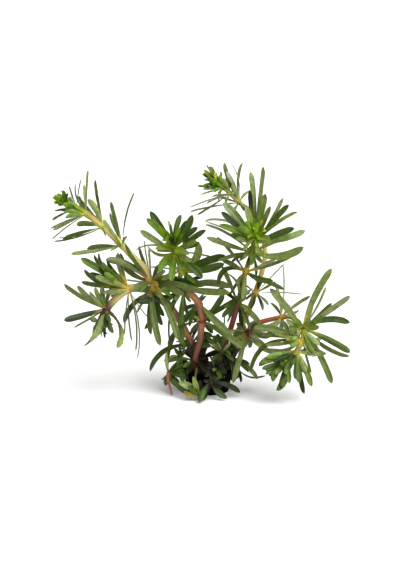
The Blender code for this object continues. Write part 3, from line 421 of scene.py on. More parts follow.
        (-7, 2, 4, 1.6), (-4, 9, 1, 2.2), (-8, -2, 1, 1.6), (-8, 5, -1, 1.6), (-4, -4, 5, 1.4),
        (-1, 6, 5, 1.6), (-2, 0, 8, 1.6), (-7, 7, 2, 2), (-4, 9, 3, 2.4), (-5, 3, 5, 2), (-5, -1, 4, 2),
        (-2, -1, 6, 2), (-1, 6, 3, 2.2),
    ]),
    "middle_ring_5": ("gupswdpdwkmwau+adssmp", ("#84982A", 0.36), [
        (-2, 39, -6, 2.4, -0.7), (5, 42, -3, 1.9), (6, 27, 4, 3), (9, 20, 10, 2.2), (16, 25, -8, 1.5, -1.5),
        (19, 21, 3, 2.4), (24, 17, -5, 2, 1), (22, 8, 8, 3.1), (28, 7, 2, 3, -2), (-18, 17, 4, 2.8),
        (-19, 10, 9, 3, -1), (-17, 22, -3, 3.6, -1), (-27, 12, -8, 0.8), (-10, 2, 16, 1.8),
        (-27, 12, -4, 1.3, -4), (-13, 5, 8, 2.6), (-6, -9, 8, 2.2), (5, -8, 7, 2.2), (8, 4, 9, 2.4),
        (-2, -10, 10, 2.4),
    ]),
    "middle_ring_6": ("ngmmmsss+vhvv", ("#93AC24", 0.7), [
        (-3, 26, -4, 1.9, 0.7), (-5, 17, 6, 2.8), (-9, 6, 12, 2.5), (4, 18, 8, 2.2), (10, 7, 6, 0.6),
        (1, -9, 14, 2.2), (-6, -7, 13, 1.9), (8, -2, 13, 1.9), (-8, 6, 11, 2.8), (4, 6, 10, 2.6),
        (-5, 9, 9, 2.6), (1, 8, 12, 2.4),
    ]),
    "middle_tip": ("hvbbvvb", ("#8CA824", 0.5), [
        (-4, 5, 4, 1.6), (0, 7, 2, 1.6), (4, 6, 4, 1.6), (6, 0, 5, 1.6), (2, -5, 6, 1.6), (-4, -4, 6, 1.6),
        (-1, 2, 7, 1.6),
    ]),
    "middle_ring_4": ("uuumusdd+sss", ("#8E9A30", 0.35), [
        (-26, 15, 2, 1.4, -1), (-25, 8, 7, 2.5, 1), (28, 3, 6, 3.7, -4.2), (-1, -7, 13, 2.8),
        (-19, -5, 3, 2.2), (18, 8, -10, 2.2), (2, -13, -15, 1.4), (-12, -6, -12, 1.6), (-3, -9, 9, 2.2),
        (5, -6, 8, 2), (-7, -5, 8, 1.6),
    ]),
    "middle_ring_3": ("dduuaudd+sdsd", ("#A89A34", 0.3), [
        (21, -10, 5, 2.2, -1), (15, -5, 9, 2.8, -2), (-16, 19, -3, 1.6), (-13, 6, 6, 2.2),
        (17, 7, -8, 1.6, -1), (28, 10, 3, 1.6, -2), (-9, -13, -13, 1.6), (-3, -10, -16, 1.6),
        (-2, -15, 4, 1.9), (-15, -7, -3, 2.4, -5), (-5, -7, 6, 1.6), (7, -6, 9, 1.8),
    ]),
    "middle_ring_2": ("uddsuda+uddudsdg", PLAIN_BASE, [
        (12, -12, 6, 2.8), (6, -15, 10, 2), (2, -14, -7, 2.2), (-9, 20, 3, 1.9), (-6, 16, 12, 1.4, -3),
        (-11, 8, -6, 2.2), (8, 8, -12, 1.6), (-5, -8, -4, 2.6), (-9, -8, 4, 2.4), (-1, 4, 9, 2.4),
        (4, 4, 8, 2.6), (-6, -11, 3, 0.8), (8, -6, 8, 2.6), (-8, -3, 8, 2.2), (5, 8, 5, 1.8),
    ]),
    "middle_ring_1": ("dudugdudd+ugpnmgnngddsnnnnn", ("#2E3810", 0.34), [
        (-6, -5, 8, 1.9), (-6, 2, -8, 1.6), (5, -12, 1, 1.6, 1), (6, -5, 8, 1.6), (-6, 4, 3, 1.6),
        (2, 8, 6, 2.8, 2), (1, 21, -5, 0.8), (8, 3, 2, 2.2), (4, -3, -9, 1.6), (-9, 8, -6, 2.4),
        (-7, 3, 3, 1.4), (-5, 9, -9, 3), (-10, -3, -5, 2.4), (-6, -6, 4, 2), (4, 5, 6, 2), (7, 0, -3, 2.2),
        (2, -7, 4, 1.8), (-3, 6, 5, 1.4), (0, 9, -5, 2.8), (-3, 10, -6, 3), (2, 9, 2, 2.4),
        (-4, -3, -8, 2.6), (-5, -6, -6, 3), (-2, -6, -4, 2.8), (4, -5, -5, 3), (-8, -2, -8, 2.6),
    ]),
    "back_ring_1": ("aaaada+ddkuk", PLAIN_BASE, [
        (26, -1, 3, 0.8), (-6, -2, -4, 0.7), (4, -10, -9, 2.2), (16, 16, -8, 0.7), (-9, 6, -10, 1.1),
        (7, -7, 6, 1.6), (-5, -4, 4, 1.6), (3, -7, -4, 1.4), (3, 9, 4, 2.6, -0.6), (10, 5, -3, 1.4),
        (-3, -9, 4, 1.8, 0.6),
    ]),
    "right_ring_1": ("udddd+nnndnnpnnn", ("#20240E", 0.3), [
        (14, -12, 5, 1.9, 1), (19, -10, -8, 0.8, -6), (9, -8, 12, 1.6), (10, -4, 3, 1.4), (3, -12, -11, 1.6),
        (-2, -8, -3, 2.6), (1, -9, -8, 2.6), (-4, -10, 0, 2.2), (5, 7, -4, 2.4), (-6, -5, 4, 2.2),
        (5, -14, -10, 1.6), (-3, 4, 6, 2.2), (-5, -2, -6, 3), (0, -13, -3, 2.4), (-1, -5, 2, 2.6),
    ]),
    "right_ring_2": ("guuusduu+agugggugupgd", ("#7C4A1C", 0.45), [
        (8, -7, 12, 3.3), (-8, -27, 9, 2.8, -1), (-6, -8, 9, 2.8), (6, 9, -7, 2.2), (-4, 7, -5, 1.6),
        (-8, -1, 6, 2.2), (8, 1, 5, 2.2), (1, -8, -11, 2.2), (-11, 1, 5, 2.4), (-8, -5, 9, 3),
        (-6, 6, -2, 2.4), (8, 2, 9, 3), (13, -1, 9, 3), (10, -7, 4, 2.2), (4, 7, 3, 2.4), (6, -3, 11, 2.8),
        (-2, -8, 5, 2.6), (-5, -2, 12, 2.4), (5, 5, -6, 2.2), (-9, -9, -3, 2.2),
    ]),
    "right_ring_3": ("aaguau+gdssau", ("#A09050", 0.3), [
        (-4, 20, -4, 1.6), (1, 29, -9, 0.8), (-13, -7, 6, 2.8, 1), (-16, -6, 1, 2.8, 2), (10, 4, -8, 1.6),
        (-1, -7, -14, 2.2), (-7, -7, 8, 2.6), (-10, -11, 4, 1.8), (-6, 8, -4, 1.4), (5, 7, -5, 1.4),
        (16, 12, -3, 1.8, 1), (4, -8, 4, 2.2),
    ]),
    "right_ring_4": ("qugaddduuug+gumsmamgsm", ("#9C9C36", 0.4), [
        (-18, 22, 8, 3.3, -1), (16, 33, 3, 3.1, 2.9), (13, 23, -6, 1.1), (26, 18, 6, 2.5, 1),
        (16, 14, -4, 2.8), (26, 3, 2, 3, 4), (26, -13, 9, 3, 1), (26, -15, 1, 2.2, -2), (16, -30, 8, 2.8, 1),
        (-7, -9, -10, 2.8), (-6, 9, -12, 2.2), (-9, 5, 4, 3), (-8, 1, 7, 3), (-4, 6, 9, 2.6), (4, 6, 9, 2.4),
        (9, 1, 9, 2.6), (6, 17, -8, 1.4), (11, 7, 10, 2.4), (9, -9, 11, 2.2), (-6, -6, 9, 2.2),
        (6, -13, 10, 2.2),
    ]),
    "right_ring_5": ("gudassu+qmosguugu", ("#B09C34", 0.42), [
        (13, -7, 9, 1.4), (-23, 3, 2, 1.9, -2), (-29, -18, 5, 2.2, -9), (-25, -2, -5, 2.2, 4),
        (5, -18, -8, 1.2), (11, 2, -11, 1.6), (-4, 6, -6, 1.6), (-7, 6, 7, 2.2), (-7, -3, 9, 2.4),
        (-5, -8, 10, 2.2), (-10, 2, 9, 2.6), (6, -9, 7, 1.8), (-11, -1, 4, 2.2), (-27, 7, 4, 3.4, -3),
        (-21, -2, 3, 1.6), (-16, 4, 8, 2.4, -1),
    ]),
    "right_ring_6": ("skdmasm+mmdsksdg", ("#98A438", 0.34), [
        (8, -19, 7, 2.8, 1), (4, -23, 3, 2.1), (1, -17, 9, 2.8), (-21, -8, 5, 3, -2), (-17, 1, -5, 2.2),
        (6, 2, -11, 1.6), (4, -12, -9, 1.6), (-20, -6, 6, 2.8), (-17, -3, 8, 3), (-7, -12, 10, 3),
        (-1, -15, 6, 2.8), (-13, -6, 9, 2.8), (5, -11, 7, 2.6), (-3, -7, 11, 2.4), (16, -1, 5, 2.4),
    ]),
    "right_tip": ("mdddmkskdd+mddkmmk", ("#7C9A1E", 0.4), [
        (-6, -16, 0, 3.3, 2), (-8, -11, 7, 3.3, -2), (-12, -5, 4, 2.2), (-4, -2, 8, 2.8), (-1, -7, 10, 2.2),
        (-7, 1, 5, 2.2), (2, -10, -2, 1.6), (-4, 6, 1, 1.6), (-10, -8, -4, 2.8), (-3, -14, 8, 2.8),
        (-12, -7, 4, 2.6), (-14, -4, 5, 2.4), (-4, -15, 4, 2.8), (-2, -8, 7, 2.6), (1, -12, 3, 2.6),
        (-7, -7, 7, 2.6), (-5, 1, 8, 2.2),
    ]),
    "red_shoot_ring": ("dldmdda+ddudk", PLAIN_BASE, [
        (4, 23, -3, 2.2, 2), (-1, 12, 2, 1.6), (8, -1, 9, 1.6), (8, 5, 6, 1.4), (-2, -7, -5, 2.2),
        (6, -7, 4, 1.9, -1), (-4, -4, -6, 1.1), (4, 6, 5, 1.8), (8, 5, 6, 1.8), (8, 2, 4, 1.6),
        (6, -5, 3, 2), (3, 5, 2, 1.6),
    ]),
    "low_shoot_left_tip": ("guddaddd+dnddnndnp", PLAIN_BASE, [
        (-7, -3, 5, 1.6, -2), (-2, -10, 6, 2.2, -1), (1, -14, 12, 2.5), (3, -12, 6, 2.2), (-10, -2, -4, 1.1),
        (-4, 5, -4, 1.6), (4, 4, -7, 1.6), (-1, 8, 2, 1.6), (-4, 5, 3, 1.8), (4, -4, 6, 2), (2, -11, 7, 2.2),
        (-1, -10, 5, 2.2), (4, -13, 3, 2.2), (1, -14, 1, 2.4), (-4, -6, 3, 1.8), (5, -8, 6, 2),
        (2, 5, 2, 1.8),
    ]),
    "foot_shoot_front_tip": ("ddkdnn+nnk", ("#14160A", 0.62), [
        (-6, -11, 8, 3, -1), (9, -9, 2, 2.8, -1), (16, -6, -4, 2.5, 2), (6, 4, 1, 1.6), (-4, -10, 3, 1.6),
        (-1, -4, 8, 1.6), (6, -3, 5, 2), (-4, 1, 0, 2), (3, 3, 3, 1.8),
    ]),
    "low_shoot_front_tip": ("nnndnkn+knnknnku", ("#0E1208", 0.6), [
        (-5, -2, 3, 1.9), (4, -4, 1, 2.2), (6, 2, -3, 1.9), (3, -6, 8, 1.9), (-3, 6, -2, 1.6),
        (3, 6, 2, 1.9), (-6, 2, 3, 1.6), (6, -3, 6, 3), (-6, -5, 6, 2.2), (-2, -6, 6, 2), (5, -6, 5, 1.8),
        (-5, 0, 4, 2.2), (3, 4, 3, 2.2), (-2, 5, 0, 2.2), (-1, -2, 7, 2),
    ]),
    "foot_shoot_left_tip": ("gsdyd+knn", PLAIN_BASE, [
        (-11, 6, 0, 3.3, -2), (-3, 10, 3, 2.5), (-14, 9, -4, 2.2, 2), (-8, 2, 4, 2.4, 1), (-6, 5, 6, 2.2),
        (-4, 5, 2, 2.6), (-8, 6, -3, 2), (1, 8, 0, 2),
    ]),
}


def linear(code):
    """An sRGB hex colour as linear red, green and blue."""
    srgb = np.array([int(code[i : i + 2], 16) / 255 for i in (1, 3, 5)])
    return np.where(srgb <= 0.04045, srgb / 12.92, ((srgb + 0.055) / 1.055) ** 2.4)


def unit(vectors):
    """The vectors at a length of 1."""
    return vectors / np.linalg.norm(vectors, axis=-1, keepdims=True)


def ease(t):
    """Rises smoothly from 0 to 1 as t does: 3 t squared minus 2 t cubed."""
    t = np.clip(t, 0, 1)
    return t * t * (3 - 2 * t)


def full_turn(count):
    """This many even angles round a full turn."""
    return np.linspace(0, math.tau, count, endpoint=False)


def square_to(axis):
    """Two directions square to an axis and to each other."""
    right = unit(np.cross(axis, (0.31, 0.87, 0.38)))
    return right, np.cross(axis, right)


def turned(right, front, angle):
    """The direction at an angle from `right` toward `front`: cos and sin of the angle."""
    return right * np.cos(angle)[..., None] + front * np.sin(angle)[..., None]


def around(radii, angles, heights):
    """Points on circles about the upright axis: radius times cos and sin of the angle, and height."""
    places = np.broadcast_arrays(radii * np.cos(angles), radii * np.sin(angles), heights)
    return np.stack(places, axis=-1).reshape(-1, 3)


def linked(name, data):
    """An object of the scene, at the origin."""
    thing = bpy.data.objects.new(name, data)
    bpy.context.scene.collection.objects.link(thing)
    return thing


class Shells:
    """Closed shells of one piece: their points, faces, tints and blade coordinates, side by side."""

    def __init__(self):
        self.points, self.faces, self.tints, self.blades = [], [], [], []
        self.count = 0

    def add(self, points, faces, tints, blades=(0, 0, 0)):
        """Adds points (n, 3), a list of face arrays, and the tint and blade values of each point."""
        self.points.append(points)
        self.faces += [array + self.count for array in faces]
        self.tints.append(np.broadcast_to(tints, (len(points), 3)))
        self.blades.append(np.broadcast_to(blades, (len(points), 3)))
        self.count += len(points)

    def made(self, name, finish):
        """One mesh object at the origin, in metres, with the tint and blade attributes."""
        mesh = bpy.data.meshes.new(name)
        faces = [face for array in self.faces for face in array.tolist()]
        mesh.from_pydata(np.concatenate(self.points) * MM, [], faces)
        tint = mesh.attributes.new("tint", "FLOAT_COLOR", "POINT")
        colours = np.ones((self.count, 4))
        colours[:, :3] = np.concatenate(self.tints)
        tint.data.foreach_set("color", colours.ravel())
        blade = mesh.attributes.new("blade", "FLOAT_VECTOR", "POINT")
        blade.data.foreach_set("vector", np.concatenate(self.blades).ravel())
        mesh.polygons.foreach_set("use_smooth", [True] * len(mesh.polygons))
        mesh.materials.append(finish)
        return linked(name, mesh)


def grid_faces(rows, columns, closed=False):
    """Quads between the rows of a grid, (rows, columns, 4). Each row closes, and the last one joins
    the first if `closed`. They face outwards where rows run anticlockwise seen from the last one."""
    below = np.arange(rows if closed else rows - 1)[:, None] * columns
    above = (below + columns) % (rows * columns)
    c = np.arange(columns)
    n = (c + 1) % columns
    return np.stack((below + c, below + n, above + n, above + c), axis=-1)


def tube_faces(rows, columns):
    """The quads of a round of closed rows, and a fan to a pole at each end. The points are the rows
    in order, then the near pole, then the far pole."""
    c = np.arange(columns)
    n = (c + 1) % columns
    last = (rows - 1) * columns
    near = np.stack((n, c, np.full(columns, rows * columns)), axis=-1)
    far = np.stack((last + c, last + n, np.full(columns, rows * columns + 1)), axis=-1)
    return [grid_faces(rows, columns).reshape(-1, 4), near, far]


def doughnut_faces(rows, columns):
    """The quads of a section that is turned round an axis, one row of points for each place."""
    return [grid_faces(rows, columns, closed=True)[..., ::-1].reshape(-1, 4)]


def blade_across(along, upper_side, share):
    """The blade's width direction, turned about the leaf until the front view sees this share of it.

    Of the two turns that do so, the one whose face lies nearer the upper side's direction is kept.
    """
    flat = unit(np.cross(TOWARD, along))
    deep = unit(np.cross(along, flat)) * math.sqrt(max(0.0, 1 - share**2))
    choices = [flat * share + deep, flat * share - deep]
    leans = [np.cross(along, width) @ upper_side for width in choices]
    best = 0 if abs(leans[0]) >= abs(leans[1]) else 1
    return choices[best] if leans[best] >= 0 else -choices[best]


def add_leaves(shells, leaves, chance):
    """Adds blades, each a closed shell: a section carried along a quadratic curve to a blunt tip.

    The curve is start (1 - v)^2 + middle 2 v (1 - v) + end v^2.
    The half width rises from the waist's share to the full one as the sine to the power
    2.1 - 2 waist, holds, and closes as (1 - r^2)^0.65 over the tip's length. The section is
    sqrt(1 - s^2) thick, s being the place across from -1 to 1. The two halves fold up from the
    midrib as |s|^1.25, the upper side has a groove exp(-(s / 0.17)^2) and the lower side a keel
    of that form, and two waves, one slow and one quick, lift the edges. A damaged leaf has its
    own widths, with notches.
    """

    def every(key):
        """A value of all leaves, set out as (leaf, row, place across, number)."""
        return np.array([leaf[key] for leaf in leaves]).reshape(len(leaves), 1, 1, -1)

    start, middle, end, across = map(every, ("start", "middle", "end", "across"))
    width, thick, fold, waist = map(every, ("width", "thick", "fold", "waist"))
    length = np.linalg.norm(end - start, axis=-1, keepdims=True)
    v = ((np.arange(LEAF_ROWS) / LEAF_ROWS) ** ROW_POWER).reshape(1, -1, 1, 1)
    centre = start * (1 - v) ** 2 + middle * 2 * v * (1 - v) + end * v**2
    tangent = unit((middle - start) * (1 - v) + (end - middle) * v)
    level = unit(across - tangent * (across * tangent).sum(-1, keepdims=True))
    normal = np.cross(tangent, level)
    turn = every("twist") * v**TWIST_POWER
    level, normal = (
        level * np.cos(turn) + normal * np.sin(turn),
        normal * np.cos(turn) - level * np.sin(turn),
    )

    tip_share = np.clip(TIP_LENGTH * width / length, *TIP_SHARES)
    into_tip = np.clip((v - (1 - tip_share)) / tip_share, 0, 1)
    opening = np.sin(np.clip(v / WIDEST_AT, 0, 1) * math.pi / 2) ** (2.1 - 2 * waist)
    half = width / 2 * (waist + (1 - waist) * opening) * (1 - into_tip**2) ** TIP_POWER
    phase = chance.uniform(0, math.tau, (len(leaves), 1, 1, 1))
    for k, leaf in enumerate(leaves):
        if leaf["code"] in DAMAGED:
            quick, slow = v[0] * NOTCH_WAVES[0] + phase[k], v[0] * NOTCH_WAVES[1] + 2 * phase[k]
            torn = np.interp(v[0], *DAMAGED[leaf["code"]]) * (1 + NOTCH_DEPTH * np.sin(quick) * np.sin(slow))
            half[k] = width[k] / 2 * torn * (1 - into_tip[k] ** 4) ** 0.5
    lift = SLOW_WAVE[0] * np.sin(v * length / SLOW_WAVE[1] * math.tau + phase)
    lift = lift + QUICK_WAVE[0] * np.sin(v * length / QUICK_WAVE[1] * math.tau)

    s = SECTION
    thinned = np.sqrt(np.clip(half / (THINS_BELOW * width), 0, 1))
    body = thick * (0.5 - THINNING * v) * np.sqrt(1 - s**2) * thinned
    rib = np.exp(-((s / RIB_SHARE) ** 2)) * np.clip(half / RIB_FADES_BELOW, 0, 1)
    rise = np.where(IS_UPPER > 0, body - GROOVE * rib, -body - KEEL * rib * (1 - KEEL_FADE * v))
    rise = rise + fold * half * np.abs(s) ** FOLD_POWER + lift * np.abs(s) * ease(v)
    points = centre + level * s * half + normal * rise

    base_tone_and_shade, tint, tip_tint = map(every, ("base_tone_and_shade", "tint", "tip_tint"))
    tip_from = every("tip_from")
    # Near its collar a leaf takes the ring's base tone: a paler green or tan of its own on most rings, and
    # painted shade on the rings by the pot and in the dark cores of the buds.
    colour = base_tone_and_shade + (tint - base_tone_and_shade) * ease((v - BASE_START) / every("glow"))
    tip_blend = np.maximum(TIP_BLEND[0], (1 - tip_from) * TIP_BLEND[1])
    colour = colour + (tip_tint - colour) * ease((v - tip_from) / tip_blend)
    colour = np.broadcast_to(colour, points.shape)
    blade = np.empty(points.shape)
    for axis, values in enumerate((s, v * length, IS_UPPER)):
        blade[..., axis] = values[..., 0]

    faces = tube_faces(LEAF_ROWS, SECTION.size)
    for k in range(len(leaves)):
        ends = ((0, 0, 1), (0, length[k].item(), 1))
        shells.add(
            np.concatenate((points[k].reshape(-1, 3), start[k, 0], end[k, 0])),
            faces,
            np.concatenate((colour[k].reshape(-1, 3), colour[k, (0, -1), 0])),
            np.concatenate((blade[k].reshape(-1, 3), ends)),
        )


def spread(angles, least):
    """Rising angles pushed apart until each is at least `least` from the next one."""
    angles = list(angles)
    count = len(angles)
    for _ in range(SPREAD_PASSES):
        for i in range(count):
            j = (i + 1) % count
            gap = (angles[j] - angles[i]) % math.tau
            if gap < least:
                angles[i] -= (least - gap) / 2
                angles[j] += (least - gap) / 2
    return angles


def leaf_stations(angles):
    """Each leaf's angle round the collar, and the widest arc between two stations."""
    least = min(CROWDED_SHARE * math.tau / len(angles), LEAST_ANGLE)
    order = sorted(range(len(angles)), key=lambda i: angles[i])
    settled = spread([angles[i] for i in order], least)
    widest = 0
    places = [0.0] * len(angles)
    for k, which in enumerate(order):
        places[which] = settled[k]
        arc = (settled[(k + 1) % len(order)] - settled[k]) % math.tau
        widest = max(widest, arc / (int(arc // WIDEST_BARE_ARC) + 1))
    return places, widest


def add_collar(shells, centre, axis, radius, tint):
    """A band round the stem: a rounded section, cos and sin of the angle, turned round the axis. Its
    reach swells and sinks three times and seven times a turn, so no two sides are alike."""
    a, b = full_turn(COLLAR_GRID[0])[:, None], full_turn(COLLAR_GRID[1])
    knobs = 1 + 0.06 * np.sin(a * 3) + 0.04 * np.sin(a * 7 + 1)
    hole, outside = radius * COLLAR_HOLE, radius + COLLAR_STANDS
    reach = (hole + outside) / 2 + (outside - hole) / 2 * np.cos(b) * knobs
    rise = np.broadcast_to(COLLAR_HALF_HEIGHT * np.sin(b), reach.shape)
    points = centre + turned(*square_to(axis), a) * reach[..., None] + axis * rise[..., None]
    shells.add(points.reshape(-1, 3), doughnut_faces(*COLLAR_GRID), tint, (0.6, 1, 1))


def bud_leaves(centre, axis, bud, chance):
    """Small young leaves packed round a shoot's end, each turned a golden angle from the last.

    The innermost stands at the end, leans out by 6 degrees and has 0.7 of the outer ones' length,
    and each next one starts lower down and leans further, up to 42 degrees. The tone turns from
    the core's, dark with painted shade in most buds, to a young leaf's over the inner part.
    """
    count, reach, shaded_core, light = bud
    shaded_core = linear(shaded_core)
    right, front = square_to(axis)
    leaves = []
    for k in range(count):
        share = (k + 0.5) / count
        out = turned(right, front, GOLDEN_ANGLE * k)
        lean = math.radians(6 + 36 * share + chance.uniform(-6, 6))
        length = reach * (0.7 + 0.3 * share) * chance.uniform(0.85, 1.15)
        start = centre + out * 0.2 - axis * reach * 0.5 * share
        end = start + (axis * math.cos(lean) + out * math.sin(lean)) * length
        young = linear(BUD_TONES[k % len(BUD_TONES)]) * light * chance.uniform(0.85, 1.15)
        tint = shaded_core + (young - shaded_core) * ease(share / 0.6)
        leaves.append(
            {
                "start": start, "end": end,
                "middle": (start + end) / 2 + (axis * 0.12 - out * 0.06) * length,
                "across": unit(np.cross(out, axis)), "width": (0.7 + 0.4 * share) * reach / 4.6,
                "thick": 0.4, "fold": 0.35, "waist": 0.5, "twist": chance.uniform(-0.3, 0.3), "code": "b",
                "base_tone_and_shade": shaded_core, "glow": 0.34,
                "tint": tint, "tip_tint": tint * 1.05, "tip_from": PLAIN_TIP_FROM,
            }
        )
    return leaves


def leaf_look(base, code, slim, chance):
    """The tints of one leaf by its tone letter: near the collar, along the blade and at its tip.

    A slim leaf keeps the tone of its base over a shorter share, and a damaged one has none.
    """
    tone, reach = base
    tint = linear(LEAF_TONES[code]) * chance.uniform(*TINT_SPREAD)
    tip, tip_from = tint * TIP_CAST, PLAIN_TIP_FROM
    if code in TIP_TONES:
        tip, tip_from = linear(TIP_TONES[code][0]), TIP_TONES[code][1]
    return {
        "base_tone_and_shade": linear(LEAF_TONES[code] if code in DAMAGED else tone),
        "glow": reach * (SLIM_GLOW if slim else 1), "tint": tint, "tip_tint": tip, "tip_from": tip_from,
    }


def ring_piece(ring_name, knots, index, node_tone, finish):
    """A ring of leaves with its collar, or a bud with its young leaves, for the solid of that name."""
    tones, base, leaves = RINGS[ring_name]
    own, _, more = tones.partition("+")
    chance = np.random.default_rng(sum(map(ord, ring_name)) * 31 + len(own))
    last = len(knots) - 1
    is_tip = index == last
    axis = unit(knots[min(index + 1, last), :3] - knots[max(index - 1, 0), :3])
    centre, radius = knots[index, :3], knots[index, 3]
    if is_tip:
        centre = centre + axis * (GAP + COLLAR_HALF_HEIGHT)
    reaches = [ACROSS * leaf[0] + UP * leaf[1] + TOWARD * leaf[2] for leaf in leaves]
    right = np.array(Vector(axis).orthogonal().normalized())
    front = np.cross(axis, right)
    angles = [math.atan2(reach @ front, reach @ right) % math.tau for reach in reaches]
    places, widest = leaf_stations(angles[: len(own)])
    places += angles[len(own) :]
    outside = TIP_RIM if is_tip else (radius + GAP) / math.cos(widest / 2) + COLLAR_WALL
    shells = Shells()
    blades = []
    slender = ring_name.startswith(SLENDER_RINGS)
    fuller = SLENDER if slender else FULLER
    for leaf, code, reach, angle in zip(leaves, own + more, reaches, places):
        seen, bow = (*leaf[3:], 0)[:2]
        out = turned(right, front, angle)
        rim = centre + out * outside
        end = centre + reach
        length = np.linalg.norm(end - rim)
        along = (end - rim) / length
        side = unit(np.cross(TOWARD, along))
        slim = seen < SLIM_BELOW
        part = SLIM_SHARE if slim else MORE_SHARE if len(blades) >= len(own) else 1
        width = max(seen, part * (YOUNG_LEAF_WIDTH if is_tip else LEAF_WIDTH))
        share = seen / width
        blades.append(
            {
                "start": centre + out * radius * ROOT_SHARE, "end": end,
                "middle": (rim + end) / 2 + side * bow * 2 + axis * length * LEAF_ARCH,
                "across": blade_across(along, axis - out * (1 - KEEL_SHARE), share),
                "width": width * fuller, "thick": SLIM_THICKNESS if slim else LEAF_THICKNESS,
                "fold": chance.uniform(*FOLDS) * (SLIM_FOLD if slim else 1),
                "waist": BUD_WAIST if is_tip else SLENDER_WAIST if slender or code == "w" else FULL_WAIST,
                "twist": chance.uniform(-TWIST, TWIST) * share, "code": code,
                **leaf_look(base, code, slim, chance),
            }
        )
    if is_tip:
        blades += bud_leaves(centre, axis, BUDS.get(ring_name, SMALL_BUD), chance)
    else:
        add_collar(shells, centre, axis, radius, linear(STEM_TONES[node_tone]))
    add_leaves(shells, blades, chance)
    piece = shells.made(ring_name + "_leaves", finish)
    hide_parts(ring_name)
    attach(piece, "root")


def stem_knots(rows):
    """The point of each row, at its place in the front view, and its radius."""
    across, up, back, radius = np.array([row[:4] for row in rows]).T
    return np.stack((across, back, (up - back * UP[1]) / UP[2], radius), axis=-1)


def stem_route(knots, tones):
    """Points, radii and tints of a stem along the Catmull-Rom curve of its knots.

    Between two knots, t runs from 0 to 1 and the point is half of 2 p1 + (p2 - p0) t
    + (2 p0 - 5 p1 + 4 p2 - p3) t^2 + (3 p1 - p0 - 3 p2 + p3) t^3.
    """
    tones = np.array([linear(STEM_TONES[letter]) for letter in tones])
    padded = np.pad(knots, ((1, 1), (0, 0)), mode="edge")
    points, tints = [], []
    for i in range(len(knots) - 1):
        p0, p1, p2, p3 = padded[i : i + 4]
        steps = max(3, round(np.linalg.norm((p2 - p1)[:3]) / STEM_STEP))
        t = (np.arange(steps) / steps)[:, None]
        cubic = (2 * p0 - 5 * p1 + 4 * p2 - p3) * t**2 + (3 * p1 - p0 - 3 * p2 + p3) * t**3
        points.append(0.5 * (2 * p1 + (p2 - p0) * t + cubic))
        tints.append(tones[i] + (tones[i + 1] - tones[i]) * ease(t))
    points = np.concatenate((*points, knots[-1:]))
    return points[:, :3], points[:, 3], np.concatenate((*tints, tones[-1:]))


def add_tube(shells, points, radii, tints):
    """A tube along a path: each ring is the radius times cos and sin of its angle, in a frame that
    turns with the path and never spins about it. The ends are domed as sqrt(1 - k^2). Four ridges
    that wind slowly and nine finer ones stand on the skin."""
    tangents = unit(np.gradient(points, axis=0))
    near, far = -tangents[0] * radii[0] * DOME_SQUASH, tangents[-1] * radii[-1] * DOME_SQUASH
    poles = np.array((points[0] + near, points[-1] + far))
    path = np.concatenate((points[0] + near * DOME[::-1, None], points, points[-1] + far * DOME[:, None]))
    shrink = np.sqrt(1 - DOME**2)
    radii = np.concatenate((radii[0] * shrink[::-1], radii, radii[-1] * shrink))
    tints, tangents = (np.pad(rows, ((len(DOME),) * 2, (0, 0)), mode="edge") for rows in (tints, tangents))
    side = square_to(tangents[0])[0]
    sides = []
    for tangent in tangents:
        side = unit(side - tangent * (side @ tangent))
        sides.append(side)
    sides = np.array(sides)[:, None, :]
    others = np.cross(tangents[:, None, :], sides)
    a = full_turn(STEM_SIDES)
    along = np.concatenate(((0,), np.cumsum(np.linalg.norm(np.diff(path, axis=0), axis=1))))[:, None]
    ribbed = 1 + RIDGE * np.cos(4 * a + 0.05 * along) + 0.5 * RIDGE * np.cos(9 * a)
    rings = path[:, None, :] + turned(sides, others, a) * (radii[:, None] * ribbed)[..., None]
    blades = np.stack(np.broadcast_arrays(np.cos(a), along, np.sin(a)), axis=-1).reshape(-1, 3)
    shells.add(
        np.concatenate((rings.reshape(-1, 3), poles)),
        tube_faces(len(path), STEM_SIDES),
        np.concatenate((tints.repeat(STEM_SIDES, 0), tints[[0, -1]])),
        np.concatenate((blades, ((0, 0, 0), (0, along[-1, 0], 0)))),
    )


def stem_piece(name, knots, ringed, finish):
    """One stem: its tube swells at each node and is rooted a little way into the medium."""
    tones, node_tones, _ = STEMS[name]
    points, radii, tints = stem_route(knots, tones)
    root = points[:1] - unit(points[1] - points[0]) * ROOTED
    points = np.concatenate((root, points, points[-1:] + unit(points[-1] - points[-2]) * END_REACH))
    fullness = np.linspace(*STEM_FULLNESS.get(name, PLAIN_FULLNESS), len(points))
    radii = np.concatenate((radii[:1], radii, radii[-1:] * END_SHARE)) * fullness
    tints = np.pad(tints, ((1, 1), (0, 0)), mode="edge")
    for k, letter in zip(ringed, node_tones):
        near = np.exp(-((np.linalg.norm(points - knots[k, :3], axis=1) / NODE_REACH) ** 2))
        radii = radii * (1 + NODE_SWELL * near)
        tints = tints + (linear(STEM_TONES[letter]) - tints) * near[:, None]
    shells = Shells()
    add_tube(shells, points, radii, tints)
    piece = shells.made(name + "_grown", finish)
    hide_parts(name)
    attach(piece, "root")


def wall_radius(height):
    """The pot's outside radius at a height: it widens evenly from foot to mouth."""
    return POT_FOOT_RADIUS + (POT_TOP_RADIUS - POT_FOOT_RADIUS) * height / POT_HEIGHT


